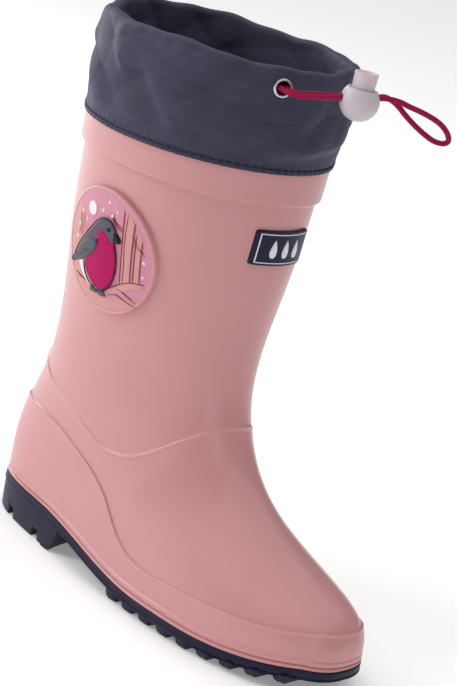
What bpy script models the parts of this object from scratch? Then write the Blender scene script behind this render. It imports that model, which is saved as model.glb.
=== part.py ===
"""A child's rain boot with a drawstring cuff, as separate pieces.

Blender units are metres, +Z is up, the toe points along +X and the wearer's left is +Y.
The origin is the centre of the heel's rest pad on the ground. Sizes below are in millimetres.
The boot is described by one family of plan sections, section(height), and every piece that fits in,
on or round it is an offset of those sections.
"""

import math

import bmesh
import bpy
import numpy as np
from mathutils import Matrix, Vector

MM = 0.001

# Overall sizes
SOLE_LENGTH = 211.5
BALL_HALF_WIDTH = 46.0
SHAFT_HEIGHT = 205.0
HEEL_BACK_X = -31.5

# Height of the joint between upper and sole above the ground, at heel, ball and toe
HEEL_HEIGHT = 18.0
BALL_HEIGHT = 7.6
TOE_HEIGHT = 13.3
FEATHER_FADE = 100.0
FEATHER_START = 0.0165 * SOLE_LENGTH
FEATHER_RUN = 0.9456 * SOLE_LENGTH
TOE_SPRING_SHARE = 0.72

# Plan sections: height share, back and front shares of the length, half widths at heel, waist, ball and
# toe as shares of the ball's, and fullness (1 is an ellipse, less is squarer)
STATIONS = np.array((
    (0.000, 0.000, 1.000, 0.674, 0.522, 1.000, 0.870, 0.75),
    (0.122, -0.007, 0.962, 0.674, 0.565, 0.957, 0.761, 0.80),
    (0.244, 0.007, 0.754, 0.641, 0.598, 0.761, 0.554, 0.90),
    (0.366, 0.040, 0.622, 0.696, 0.717, 0.739, 0.587, 0.95),
    (0.512, 0.047, 0.570, 0.717, 0.739, 0.739, 0.652, 1.00),
    (0.732, 0.040, 0.570, 0.913, 0.935, 0.935, 0.891, 1.00),
    (1.000, 0.040, 0.574, 1.087, 1.087, 1.087, 1.087, 1.00),
))

# Walls and clearances
GAP = 0.3
SHELL_WALL = 2.5
COLLAR_LOW = SHAFT_HEIGHT - 13.5
COLLAR_STEP = 0.8
COLLAR_PROUD = 2.0
SHELL_TOP = SHAFT_HEIGHT + 9.0
INSOLE_THICK = 4.0
LINING_THICK = 0.9
LINING_TOP = SHAFT_HEIGHT - 10.0
SEGMENTS = 36

# Outsole
SOLE_PROUD = 1.5
PLATE_THICK = 3.8
HEEL_BREAST_X = HEEL_BACK_X + 0.2813 * SOLE_LENGTH
HEEL_NOTCH_X = (HEEL_BACK_X + 0.078 * SOLE_LENGTH, HEEL_BACK_X + 0.187 * SOLE_LENGTH)
HEEL_NOTCH = (4.0, 9.0, 5.0)
LUG_ROWS = 9
LUG_FIRST_X = HEEL_BACK_X + 0.48 * SOLE_LENGTH
LUG_PITCH = 0.0548 * SOLE_LENGTH
LUG_LENGTH = 0.6 * LUG_PITCH
LUG_INSET = 0.5
LUG_INNER_SHARE = 0.38
LUG_BAR_HALF_WIDTH = 9.0
LUG_BAR_LEAD = 0.19 * LUG_PITCH

# Cuff: one folded strip that straddles the shell's top edge
CUFF_HEM = SHAFT_HEIGHT + 2.0
CUFF_TOP = SHAFT_HEIGHT + 47.0
CUFF_INNER_HEM = SHAFT_HEIGHT - 7.0
CLOTH_OUTER = 1.0
CLOTH_INNER = 0.9
CHANNEL_Z = CUFF_TOP - 9.0
CHANNEL_GAP = 3.4
CHANNEL_OUTER = 1.9
FOLD_STEP = 1.3

# Drawcord, eyelet and cord lock
CORD_DIAMETER = 2.4
STRAND_SPACING = 2.5
EYELET_ANGLE = 206.0
EYELET_BORE = 5.5
EYELET_WALL = 0.55
EYELET_FLANGE = 8.6
EYELET_PLATE = 0.7
WASHER_THICK = 0.5
WASHER_DROP = 1.15
WASHER_DIAMETER = 7.6
CHANNEL_TURN = 2.4
BULGE = 2.4
BULGE_ANGLE = 15.0
CORD_BULGE_SHARE = 0.68
BALL_RADIUS = 8.5
LOCK_SPACING = 25.1
BUNDLE_TURN = 6.2
BUNDLE_ANGLE = 80.0
BUNDLE_SLOPE = 0.18
CORD_ABOVE_BALL = 1.9
BUTTON_RADIUS = 5.1
BUTTON_TOP = 12.6
BUTTON_BASE = -2.4
BUTTON_TRAVEL = 2.5
BUTTON_CLEARANCE = 0.3
SLOT_CLEARANCE = 0.35
SPRING_WELL_RADIUS = 3.7
SPRING_WELL_FLOOR = -6.9
SPRING_RADIUS = 2.8
SPRING_WIRE = 0.25
SPRING_TURNS = 4

# Free loop past the lock: distance along the bundle from the lock's centre, drop below the cord's
# height in the lock, and half spacing of the strands outwards and upwards
LOOP_ROUTE = (
    (11.0, 1.9, 1.25, 0.0),
    (16.0, 0.9, 1.5, 0.9),
    (21.0, -1.5, 1.9, 2.2),
    (26.5, -3.9, 2.3, 3.5),
    (32.0, -6.2, 2.5, 4.2),
    (36.0, -7.9, 2.4, 4.1),
    (39.2, -9.3, 1.8, 3.0),
    (41.0, -10.1, 0.9, 1.5),
    (41.6, -10.4, 0.0, 0.0),
)

# Front badge and calf patch
BADGE_Z = SHAFT_HEIGHT - 32.5
BADGE_HALF_WIDTH = 16.3
BADGE_HALF_HEIGHT = 8.0
BADGE_THICK = 1.6
FRAME_INSET = 1.4
FRAME_WIDTH = 0.9
RAISED = 0.6
DROP_HALF_WIDTH = 2.2
DROP_HALF_HEIGHT = 4.0
PATCH_SHARE = 0.465
PATCH_SEAT = 0.45
PATCH_Z = SHAFT_HEIGHT - 54.5
PATCH_RADIUS = 28.5
PATCH_RIM = 2.2
PATCH_THICK = 1.8
PATCH_RIM_RAISE = 0.8
INLAY_THICK = 0.9

# Colours, linear RGB
PINK = (0.62, 0.28, 0.28)
NAVY = (0.028, 0.028, 0.060)
NYLON = (0.060, 0.056, 0.090)
SILVER = (0.60, 0.60, 0.62)
MAGENTA = (0.35, 0.006, 0.070)
CLEAR = (0.56, 0.50, 0.53)
STEEL = (0.45, 0.45, 0.47)
FOAM = (0.12, 0.12, 0.14)
KNIT = (0.16, 0.15, 0.18)
WHITE = (0.70, 0.70, 0.70)
CHARCOAL = (0.080, 0.080, 0.100)
ORCHID = (0.60, 0.22, 0.33)
BARK = (0.58, 0.25, 0.24)


def natural_spline(knots, values, at):
    """Natural cubic spline through values at knots: second derivatives from a tridiagonal system."""
    count = len(knots)
    step = np.diff(knots)
    slope = np.diff(values) / step
    system = np.eye(count)
    right = np.zeros(count)
    for i in range(1, count - 1):
        system[i, i - 1:i + 2] = step[i - 1], 2 * (step[i - 1] + step[i]), step[i]
        right[i] = 6 * (slope[i] - slope[i - 1])
    bend = np.linalg.solve(system, right)
    i = int(np.clip(np.searchsorted(knots, at) - 1, 0, count - 2))
    a = (knots[i + 1] - at) / step[i]
    b = 1 - a
    curve = ((a ** 3 - a) * bend[i] + (b ** 3 - b) * bend[i + 1]) * step[i] ** 2 / 6
    return a * values[i] + b * values[i + 1] + curve


def section(height):
    """Back x, front x, four half widths and fullness of the plan section at a height above the sole."""
    share = np.clip(height / SHAFT_HEIGHT, 0.0, 1.0)
    row = [natural_spline(STATIONS[:, 0], STATIONS[:, k], share) for k in range(1, 8)]
    back, front = (HEEL_BACK_X + SOLE_LENGTH * v for v in row[:2])
    widths = BALL_HALF_WIDTH * np.array(row[2:6])
    return back, front, widths, row[6]


def feather(x):
    """Height above the ground of the joint between upper and sole."""
    share = np.clip((x - HEEL_BACK_X - FEATHER_START) / FEATHER_RUN, -0.05, 1.05)
    fall = np.clip((share - 0.18) / 0.4, 0, 1)
    fall = fall * fall * (3 - 2 * fall)
    spring = np.clip((share - TOE_SPRING_SHARE) / (1 - TOE_SPRING_SHARE), 0, 1) ** 2
    return HEEL_HEIGHT + (BALL_HEIGHT - HEEL_HEIGHT) * fall + (TOE_HEIGHT - BALL_HEIGHT) * spring


def lean(height):
    """How much further a wall's front moves in plan than its thickness, where the instep slopes."""
    step = 2.0
    low, high = max(height - step, 0.0), min(height + step, SHAFT_HEIGHT)
    if high <= low:
        return 1.0
    run = (section(high)[1] - section(low)[1]) / (high - low)
    return math.sqrt(1 + run * run)


def ring(height, inset=0.0, angles=None):
    """Closed ring of points at a height, moved inwards by inset (outwards when negative), toe at 180."""
    if angles is None:
        angles = np.arange(SEGMENTS) * 2 * math.pi / SEGMENTS
    back, front, widths, fullness = section(height)
    back = back + inset
    front = front - inset * lean(height)
    share = (1 - np.cos(angles)) / 2
    blend = ((1 - share) ** 3, 3 * share * (1 - share) ** 2, 3 * share ** 2 * (1 - share), share ** 3)
    half = sum(b * (w - inset) for b, w in zip(blend, widths))
    x = back + (front - back) * share
    y = np.sign(np.sin(angles)) * np.abs(np.sin(angles)) ** fullness * half
    z = height + feather(x) * max(0.0, 1 - height / FEATHER_FADE)
    return np.stack([x, y, z], axis=1)


def side_y(x, height):
    """Y of the outer face on the boot's right side, at x and a height above FEATHER_FADE."""
    back, front, widths, fullness = section(height)
    share = np.clip((x - back) / (front - back), 0.001, 0.999)
    blend = ((1 - share) ** 3, 3 * share * (1 - share) ** 2, 3 * share ** 2 * (1 - share), share ** 3)
    half = sum(b * w for b, w in zip(blend, widths))
    return -(2 * math.sqrt(share * (1 - share))) ** fullness * half


def front_x(y, height):
    """X of the outer face at the front, at y and a height."""
    angles = np.radians(np.linspace(110, 250, 141))
    points = ring(height, 0.0, angles)
    return float(np.interp(-y, -points[:, 1], points[:, 0]))


# ---------------------------------------------------------------------------------------------- helpers

def material(name, colour, roughness, metallic=0.0):
    found = bpy.data.materials.get(name)
    if found:
        return found
    made = bpy.data.materials.new(name)
    made.use_nodes = True
    shader = made.node_tree.nodes["Principled BSDF"]
    shader.inputs["Base Color"].default_value = (*colour, 1.0)
    shader.inputs["Roughness"].default_value = roughness
    shader.inputs["Metallic"].default_value = metallic
    return made


def finish(obj, colour, roughness, metallic=0.0):
    """Give an object its own material and shade its round faces smooth."""
    obj.data.materials.append(material(obj.name + "_finish", colour, roughness, metallic))
    if obj.type == "MESH":
        obj.data.shade_smooth()
        obj.data.set_sharp_from_angle(angle=math.radians(35))
    return obj


def mesh_object(name, points, faces, origin=(0, 0, 0)):
    """New object from points in millimetres, with its origin at a place in millimetres."""
    mesh = bpy.data.meshes.new(name)
    start = np.array(origin, float)
    mesh.from_pydata([tuple((np.array(p) - start) * MM) for p in points], [], faces)
    obj = bpy.data.objects.new(name, mesh)
    obj.location = start * MM
    bpy.context.scene.collection.objects.link(obj)
    bm = bmesh.new()
    bm.from_mesh(mesh)
    bmesh.ops.recalc_face_normals(bm, faces=bm.faces)
    bm.to_mesh(mesh)
    bm.free()
    return obj


def cutter(obj):
    obj.hide_render = True
    obj.display_type = "WIRE"
    return obj


def boolean(obj, other, operation):
    tool = obj.modifiers.new(operation.lower() + "_" + other.name, "BOOLEAN")
    tool.operation = operation
    tool.object = other
    cutter(other)


def loft_faces(rings, closed=False):
    """Triangles between consecutive rings of a loft, each quad split from its lower s to its upper t.

    Skins that lie against each other are split the same way, so that they keep their gap.
    """
    faces = []
    pairs = list(zip(range(len(rings)), range(1, len(rings))))
    if closed:
        pairs.append((len(rings) - 1, 0))
    for a, b in pairs:
        upwards = rings[b][:, 2].mean() > rings[a][:, 2].mean()
        for s in range(SEGMENTS):
            t = (s + 1) % SEGMENTS
            a_s, a_t, b_s, b_t = a * SEGMENTS + s, a * SEGMENTS + t, b * SEGMENTS + s, b * SEGMENTS + t
            if upwards:
                faces += [(a_s, a_t, b_t), (a_s, b_t, b_s)]
            else:
                faces += [(a_s, a_t, b_s), (a_t, b_t, b_s)]
    return faces


def cap_faces(start, segments):
    """Quads across a ring that is the same on both sides of the boot's middle plane."""
    half = segments // 2
    faces = [(start + 1, start, start + segments - 1)]
    for s in range(1, half - 1):
        faces.append((start + s + 1, start + s, start + segments - s, start + segments - s - 1))
    faces.append((start + half, start + half - 1, start + half + 1))
    return faces


def closed_loft(name, rings):
    """Solid from rings, both ends capped."""
    points = np.concatenate(rings)
    faces = loft_faces(rings)
    faces += cap_faces(0, SEGMENTS) + cap_faces((len(rings) - 1) * SEGMENTS, SEGMENTS)
    return mesh_object(name, points, faces)


def ring_sweep(name, rings):
    """Solid whose rings go round a closed profile, so the last ring joins the first."""
    points = np.concatenate(rings)
    return mesh_object(name, points, loft_faces(rings, closed=True))


def prism(name, outline, low, high):
    """Upright solid from a plan outline between two heights, each a number or one per point."""
    count = len(outline)
    low = np.broadcast_to(low, count)
    high = np.broadcast_to(high, count)
    points = [(x, y, z) for (x, y), z in zip(outline, low)] + [(x, y, z) for (x, y), z in zip(outline, high)]
    faces = [tuple(range(count)), tuple(range(count, 2 * count))]
    faces += [(i, (i + 1) % count, count + (i + 1) % count, count + i) for i in range(count)]
    return mesh_object(name, points, faces)


def row_faces(rows, steps):
    """Faces between consecutive rows of points and from the last back to the first; one point is a pole."""
    faces = []
    for a, b in zip(rows, rows[1:] + rows[:1]):
        for k in range(steps):
            n = (k + 1) % steps
            if len(a) == 1 and len(b) > 1:
                faces.append((a[0], b[k], b[n]))
            elif len(b) == 1 and len(a) > 1:
                faces.append((a[k], a[n], b[0]))
            elif len(a) > 1:
                faces.append((a[k], a[n], b[n], b[k]))
    return faces


def turned(name, profile, steps, origin=(0, 0, 0)):
    """Solid turned about the vertical through origin; a profile point at radius 0 closes a pole."""
    points, rows = [], []
    for radius, height in profile:
        if radius == 0:
            rows.append([len(points)])
            points.append((0, 0, height))
        else:
            rows.append(list(range(len(points), len(points) + steps)))
            turn = [2 * math.pi * k / steps for k in range(steps)]
            points += [(radius * math.cos(t), radius * math.sin(t), height) for t in turn]
    points = [np.array(p) + np.array(origin) for p in points]
    return mesh_object(name, points, row_faces(rows, steps), origin)


def box(name, low, high):
    corners = [(low[0], low[1]), (high[0], low[1]), (high[0], high[1]), (low[0], high[1])]
    return prism(name, corners, low[2], high[2])


def empty(name, place, parent=None):
    obj = bpy.data.objects.new(name, None)
    bpy.context.scene.collection.objects.link(obj)
    obj.location = Vector(place) * MM
    if parent:
        hang(obj, parent)
    return obj


def hang(obj, parent):
    """Parent an object and keep its place."""
    bpy.context.view_layer.update()
    obj.parent = parent
    obj.matrix_parent_inverse = parent.matrix_world.inverted()


# ------------------------------------------------------------------------------------------ boot pieces

PATCH_HEIGHTS = tuple(SHAFT_HEIGHT * share for share in (0.605, 0.741, 0.873))
RIM_HEIGHTS = (SHELL_TOP, SHAFT_HEIGHT)
FOOT_HEIGHTS = (SHELL_WALL + INSOLE_THICK + 2 * GAP, 15.0, 24.0, 34.0, 44.0, 56.0, 70.0)
INNER_HEIGHTS = FOOT_HEIGHTS + tuple(SHAFT_HEIGHT * share for share in (0.43, 0.54, 0.67, 0.81))


def build_shell():
    """Moulded upper with its floor; the collar band stands proud at the top."""
    outer = [ring(0.0)] + [ring(h) for h in sorted(INNER_HEIGHTS + PATCH_HEIGHTS)]
    outer += [ring(COLLAR_LOW - COLLAR_STEP)]
    outer += [ring(h, -COLLAR_PROUD) for h in (COLLAR_LOW + COLLAR_STEP, *RIM_HEIGHTS[::-1])]
    inner = [ring(h, SHELL_WALL) for h in (*RIM_HEIGHTS, CUFF_INNER_HEM, LINING_TOP)]
    inner += [ring(h, SHELL_WALL) for h in reversed(INNER_HEIGHTS)]
    inner += [ring(SHELL_WALL, SHELL_WALL)]
    finish(closed_loft("boot_shell", outer + inner), PINK, 0.30)


def build_lining():
    """Knitted lining against the shell's inside, open at both ends."""
    heights = (*INNER_HEIGHTS, LINING_TOP)
    out_inset = SHELL_WALL + GAP
    outer = [ring(h, out_inset) for h in heights]
    inner = [ring(h, out_inset + LINING_THICK) for h in reversed(heights)]
    finish(ring_sweep("sock_lining", outer + inner), KNIT, 0.9)


def build_insole():
    """Foam footbed that lies on the shell's floor."""
    inset = SHELL_WALL + 3 * GAP
    low = SHELL_WALL + GAP
    finish(closed_loft("insole", [ring(low, inset), ring(low + INSOLE_THICK, inset + GAP)]), FOAM, 0.85)


def outline_half_width(x):
    """Half width of the outsole's outline at x."""
    edge = ring(0.0, -SOLE_PROUD, np.radians(np.arange(0, 181, 3)))
    return float(np.interp(x, edge[:, 0], edge[:, 1]))


def tread_z(x):
    """Height of the forefoot tread: on the ground up to the ball, then rising with the toe."""
    toe_spring_x = HEEL_BACK_X + FEATHER_START + TOE_SPRING_SHARE * FEATHER_RUN
    return 0.0 if x < toe_spring_x else float(feather(x)) - BALL_HEIGHT


def lug_limits(x, side):
    """Lowest and highest y at x of the tread blocks of one side."""
    reach = outline_half_width(x)
    return sorted((side * (reach - LUG_INSET), side * reach * LUG_INNER_SHARE))


def lug(name, x_low, low_limits, high_limits):
    """One tread block, LUG_LENGTH long from x_low on; the limits are its y at its two ends."""
    x_high = x_low + LUG_LENGTH
    outline = [(x_low, low_limits[0]), (x_high, high_limits[0]), (x_high, high_limits[1]),
               (x_low, low_limits[1])]
    low = [tread_z(x) for x, _ in outline]
    high = [float(feather(x)) - PLATE_THICK + 1.0 for x, _ in outline]
    return prism(name, outline, low, high)


def join(objects, name):
    """Put the meshes of objects that don't touch each other into one object."""
    bm = bmesh.new()
    for obj in objects:
        bm.from_mesh(obj.data)
        bpy.data.objects.remove(obj)
    mesh = bpy.data.meshes.new(name)
    bm.to_mesh(mesh)
    bm.free()
    made = bpy.data.objects.new(name, mesh)
    bpy.context.scene.collection.objects.link(made)
    return made


def build_outsole():
    """Rubber outsole: plate under the upper, heel block with side notches, and forefoot lugs."""
    top = ring(0.0, -SOLE_PROUD)
    top[:, 2] = feather(top[:, 0]) - GAP
    bottom = top.copy()
    bottom[:, 2] = feather(bottom[:, 0]) - PLATE_THICK
    sole = closed_loft("outsole", [top, bottom])

    back_x = HEEL_BACK_X - SOLE_PROUD
    xs = [back_x + 0.6, back_x + 2.5, back_x + 6, back_x + 13, back_x + 24, back_x + 40, HEEL_BREAST_X]
    edge = [(x, outline_half_width(x) - LUG_INSET) for x in xs]
    outline = edge + [(HEEL_BREAST_X - 5, 0.0)] + [(x, -y) for x, y in reversed(edge)]
    heel = prism("heel_block", outline, 0.0, HEEL_HEIGHT - PLATE_THICK + 1.0)
    notch_length, notch_depth, notch_height = HEEL_NOTCH
    notches = []
    for x in HEEL_NOTCH_X:
        reach = outline_half_width(x)
        for side in (-1, 1):
            ys = sorted((side * (reach - notch_depth), side * (reach + 5)))
            notches.append(box("notch", (x, ys[0], -2.0), (x + notch_length, ys[1], notch_height)))
    boolean(heel, join(notches, "heel_notches"), "DIFFERENCE")

    lugs = []
    bar_limits = (-LUG_BAR_HALF_WIDTH, LUG_BAR_HALF_WIDTH)
    for row in range(LUG_ROWS):
        x = LUG_FIRST_X + row * LUG_PITCH
        for side in (-1, 1):
            lugs.append(lug("lug", x, lug_limits(x, side), lug_limits(x + LUG_LENGTH, side)))
        lugs.append(lug("bar", x - LUG_BAR_LEAD, bar_limits, bar_limits))
    tread = join(lugs, "forefoot_tread")
    boolean(sole, heel, "UNION")
    boolean(sole, tread, "UNION")
    finish(sole, NAVY, 0.45)


# -------------------------------------------------------------------------------------- cuff and eyelet

def bulge(angles):
    """How far the cuff's inner layer stands in behind the eyelet, to give the cord room to turn."""
    away = ((np.degrees(angles) - EYELET_ANGLE + 180) % 360 - 180) / BULGE_ANGLE
    return BULGE * np.exp(-away * away)


def cuff_ring(offset, height, bulge_share=0.0):
    """Ring of the cuff at an offset outwards from the shell's outer face."""
    angles = np.arange(SEGMENTS) * 2 * math.pi / SEGMENTS
    level = min(height, SHAFT_HEIGHT)
    points = ring(level, -offset, angles)
    if bulge_share:
        inner = ring(level, -(offset - BULGE), angles)
        share = (bulge(angles) / BULGE * bulge_share)[:, None]
        points = points + (inner - points) * share
    points[:, 2] = height
    return points


def build_cuff():
    """Folded nylon strip: outer layer, round top over the channel, inner layer; open below."""
    seat_out = COLLAR_PROUD + GAP
    seat_in = -SHELL_WALL - GAP
    channel_in = CHANNEL_OUTER - CHANNEL_GAP
    edge = SHELL_TOP + 2 * GAP
    low_channel = CHANNEL_Z - 9.0
    high_channel = CHANNEL_Z + 3.5
    rings = [
        cuff_ring(seat_out + CLOTH_OUTER, CUFF_HEM),
        cuff_ring(seat_out + CLOTH_OUTER, edge),
        cuff_ring(CHANNEL_OUTER + CLOTH_OUTER + 0.1, low_channel),
        cuff_ring(CHANNEL_OUTER + CLOTH_OUTER, CHANNEL_Z),
        cuff_ring(CHANNEL_OUTER + CLOTH_OUTER - 0.3, high_channel),
        cuff_ring(CHANNEL_OUTER, CUFF_TOP - FOLD_STEP),
        cuff_ring(CHANNEL_OUTER - CHANNEL_GAP / 2, CUFF_TOP),
        cuff_ring(channel_in, CUFF_TOP - FOLD_STEP),
        cuff_ring(channel_in - CLOTH_INNER, high_channel, 0.5),
        cuff_ring(channel_in - CLOTH_INNER, CHANNEL_Z, 1.0),
        cuff_ring(channel_in - CLOTH_INNER - 0.1, low_channel, 0.4),
        cuff_ring(seat_in - CLOTH_INNER, edge),
        cuff_ring(seat_in - CLOTH_INNER, SHAFT_HEIGHT),
        cuff_ring(seat_in - CLOTH_INNER, CUFF_INNER_HEM),
        cuff_ring(seat_in, CUFF_INNER_HEM),
        cuff_ring(seat_in, SHAFT_HEIGHT),
        cuff_ring(seat_in, edge),
        cuff_ring(channel_in - 0.1, low_channel, 0.4),
        cuff_ring(channel_in, CHANNEL_Z, 1.0),
        cuff_ring(channel_in + 0.2, high_channel, 0.5),
        cuff_ring(CHANNEL_OUTER - CHANNEL_GAP / 2, CUFF_TOP - 1.6),
        cuff_ring(CHANNEL_OUTER - 0.1, high_channel),
        cuff_ring(CHANNEL_OUTER, CHANNEL_Z),
        cuff_ring(CHANNEL_OUTER + 0.1, low_channel),
        cuff_ring(seat_out, edge),
        cuff_ring(seat_out, CUFF_HEM),
    ]
    cuff = ring_sweep("cuff_fabric", rings)
    radius = EYELET_BORE / 2 + EYELET_WALL + GAP
    hole = turned("eyelet_hole", [(0, 8.0), (radius, 8.0), (radius, 0.4), (0, 0.4)], 20)
    hole.matrix_world = eyelet_frame()
    boolean(cuff, hole, "DIFFERENCE")
    finish(cuff, NYLON, 0.7)


def eyelet_point(along=0.0, out=0.0, up=0.0):
    """Point near the eyelet: along the cuff towards the left, outwards from the shell's face, and up."""
    here = ring(SHAFT_HEIGHT, 0.0, np.radians([EYELET_ANGLE]))[0]
    tangent, normal = eyelet_directions()
    place = here + tangent * along + normal * out
    place[2] = CHANNEL_Z + up
    return place


def eyelet_directions():
    """Horizontal tangent towards the boot's left and outward normal at the eyelet."""
    near = ring(SHAFT_HEIGHT, 0.0, np.radians([EYELET_ANGLE - 1, EYELET_ANGLE + 1]))
    tangent = near[0] - near[1]
    tangent[2] = 0
    tangent = tangent / np.linalg.norm(tangent)
    return tangent, np.array((tangent[1], -tangent[0], 0.0))


def eyelet_frame():
    """Matrix that takes local +Z to the eyelet's outward normal, in metres."""
    tangent, normal = eyelet_directions()
    turn = Matrix((
        (tangent[0], 0.0, normal[0]),
        (tangent[1], 0.0, normal[1]),
        (0.0, 1.0, 0.0),
    )).to_4x4()
    return Matrix.Translation(Vector(eyelet_point()) * MM) @ turn


def build_eyelet():
    """Flanged barrel through the outer layer, and the washer behind the cloth."""
    bore = EYELET_BORE / 2
    barrel = bore + EYELET_WALL
    face = CHANNEL_OUTER + CLOTH_OUTER + GAP
    flange = EYELET_FLANGE / 2
    back = CHANNEL_OUTER - WASHER_DROP
    profile = [
        (bore, back), (barrel, back), (barrel, face), (flange, face), (flange, face + 0.3),
        (flange - 0.8, face + EYELET_PLATE), (bore + 0.3, face + EYELET_PLATE), (bore, face + 0.4),
    ]
    eyelet = turned("eyelet", profile, 24)
    eyelet.matrix_world = eyelet_frame()
    finish(eyelet, SILVER, 0.25, 1.0)
    low = back
    inner = barrel + GAP / 2
    edge = WASHER_DIAMETER / 2
    ring_profile = [(inner, low), (edge, low), (edge, low + WASHER_THICK), (inner, low + WASHER_THICK)]
    washer = turned("eyelet_washer", ring_profile, 24)
    washer.matrix_world = eyelet_frame()
    finish(washer, SILVER, 0.35, 1.0)


def smooth_route(points, spacing):
    """Points at even spacing on a Catmull-Rom curve through points."""
    points = [np.array(p, float) for p in points]
    padded = [2 * points[0] - points[1], *points, 2 * points[-1] - points[-2]]
    fine = []
    for a, b, c, d in zip(padded, padded[1:], padded[2:], padded[3:]):
        for t in np.linspace(0, 1, 12, endpoint=False):
            fine.append(0.5 * (2 * b + (c - a) * t + (2 * a - 5 * b + 4 * c - d) * t * t
                               + (3 * b - a - 3 * c + d) * t ** 3))
    fine.append(points[-1])
    fine = np.array(fine)
    reach = np.concatenate([[0], np.cumsum(np.linalg.norm(np.diff(fine, axis=0), axis=1))])
    count = int(round(reach[-1] / spacing)) + 1
    even = np.linspace(0, reach[-1], count)
    return np.stack([np.interp(even, reach, fine[:, k]) for k in range(3)], axis=1)


def cord_object(name, points, diameter, origin=(0, 0, 0), smooth=2):
    """Round cord along points in millimetres, ends capped."""
    start = np.array(origin, float)
    curve = bpy.data.curves.new(name, "CURVE")
    curve.dimensions = "3D"
    curve.bevel_depth = diameter / 2 * MM
    curve.bevel_resolution = smooth
    curve.use_fill_caps = True
    spline = curve.splines.new("POLY")
    spline.points.add(len(points) - 1)
    for point, place in zip(spline.points, points):
        point.co = (*((np.array(place) - start) * MM), 1.0)
    obj = bpy.data.objects.new(name, curve)
    obj.location = start * MM
    bpy.context.scene.collection.objects.link(obj)
    return obj


def build_channel_cord():
    """Elastic inside the channel: in at the eyelet, all round the cuff and out again beside itself."""
    centre = CHANNEL_OUTER - CHANNEL_GAP / 2
    deep = centre - BULGE * CORD_BULGE_SHARE
    half = STRAND_SPACING / 2
    start_out = CHANNEL_OUTER + CLOTH_OUTER + EYELET_PLATE - GAP
    turn = CHANNEL_TURN
    route = [eyelet_point(-half, start_out), eyelet_point(-half, deep + turn + 0.4)]
    for step in (15, 45, 75):
        a = math.radians(step)
        route.append(eyelet_point(-half - turn * (1 - math.cos(a)), deep + turn * (1 - math.sin(a))))
    around = np.radians(np.linspace(EYELET_ANGLE + 6.5, EYELET_ANGLE + 353.5, 62))
    near = bulge(around) / BULGE
    loop = ring(SHAFT_HEIGHT, -centre, around)
    inner = ring(SHAFT_HEIGHT, -deep, around)
    loop = loop + (inner - loop) * near[:, None]
    loop[:, 2] = CHANNEL_Z
    mirror = [eyelet_point(half, start_out), eyelet_point(half, deep + turn + 0.4)]
    for step in (15, 45, 75):
        a = math.radians(step)
        mirror.append(eyelet_point(half + turn * (1 - math.cos(a)), deep + turn * (1 - math.sin(a))))
    route = route + list(loop) + mirror[::-1]
    finish(cord_object("drawcord_channel", route, CORD_DIAMETER), MAGENTA, 0.7)


# --------------------------------------------------------------------------------- free cord and its lock

def mouth():
    """Centre of the eyelet's mouth, where the free loop starts and swings."""
    return eyelet_point(0.0, CHANNEL_OUTER + CLOTH_OUTER + EYELET_PLATE + 0.2)


def bundle_directions():
    """Unit vectors along the bundle of two strands and outwards from the boot, both level."""
    tangent, normal = eyelet_directions()
    a = math.radians(BUNDLE_ANGLE)
    along = normal * math.cos(a) + tangent * math.sin(a)
    return along, np.array((along[1], -along[0], 0.0))


def turn_end():
    """End of the bundle's turn after the eyelet."""
    tangent, normal = eyelet_directions()
    a = math.radians(BUNDLE_ANGLE)
    radius = BUNDLE_TURN
    return mouth() + normal * (1.0 + radius * math.sin(a)) + tangent * radius * (1 - math.cos(a))


def lock_centre():
    along, _ = bundle_directions()
    place = turn_end() + along * LOCK_SPACING
    place[2] = CHANNEL_Z + BUNDLE_SLOPE * LOCK_SPACING - CORD_ABOVE_BALL
    return place


def strand(side):
    """Route of one strand from the eyelet to the loop's tip; side is 1 outside, -1 inside."""
    tangent, normal = eyelet_directions()
    along, outward = bundle_directions()
    half = STRAND_SPACING / 2
    start = mouth() - tangent * half * side
    route = [start, start + normal * 1.0]
    centre = mouth() + normal * 1.0 + tangent * BUNDLE_TURN
    radius = BUNDLE_TURN + half * side
    for a in (20, 40, 60, BUNDLE_ANGLE):
        a_rad = math.radians(a)
        route.append(centre + (normal * math.sin(a_rad) - tangent * math.cos(a_rad)) * radius)
    lock = lock_centre()
    level = lock + np.array((0.0, 0.0, CORD_ABOVE_BALL))
    for distance in (-22.0, -17.0, -12.0, -7.0, -2.0, 3.0, 7.5):
        climb = np.array((0.0, 0.0, BUNDLE_SLOPE * distance))
        route.append(level + along * distance + outward * half * side + climb)
    for distance, drop, out, up in LOOP_ROUTE:
        lift = np.array((0.0, 0.0, drop + up * side))
        route.append(level + along * distance + outward * out * side + lift)
    return route


def build_loop(pivot):
    """Free elastic loop: out of the eyelet, through the lock, round its tip and back."""
    route = strand(1) + strand(-1)[-2::-1]
    points = smooth_route(route, 2.6)
    loop = finish(cord_object("drawcord_loop", points, CORD_DIAMETER, mouth()), MAGENTA, 0.7)
    hang(loop, pivot)


def cord_slot(name, low, high, reach):
    """Cutter for the two strands: a flat slot along the bundle through the lock."""
    along, outward = bundle_directions()
    half = STRAND_SPACING / 2 + CORD_DIAMETER / 2 + SLOT_CLEARANCE
    centre = lock_centre()
    outline = []
    rise = []
    for a, o in ((-reach, -half), (reach, -half), (reach, half), (-reach, half)):
        point = centre + along * a + outward * o
        outline.append((point[0], point[1]))
        rise.append(centre[2] + BUNDLE_SLOPE * a)
    return prism(name, outline, np.array(rise) + low, np.array(rise) + high)


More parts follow.
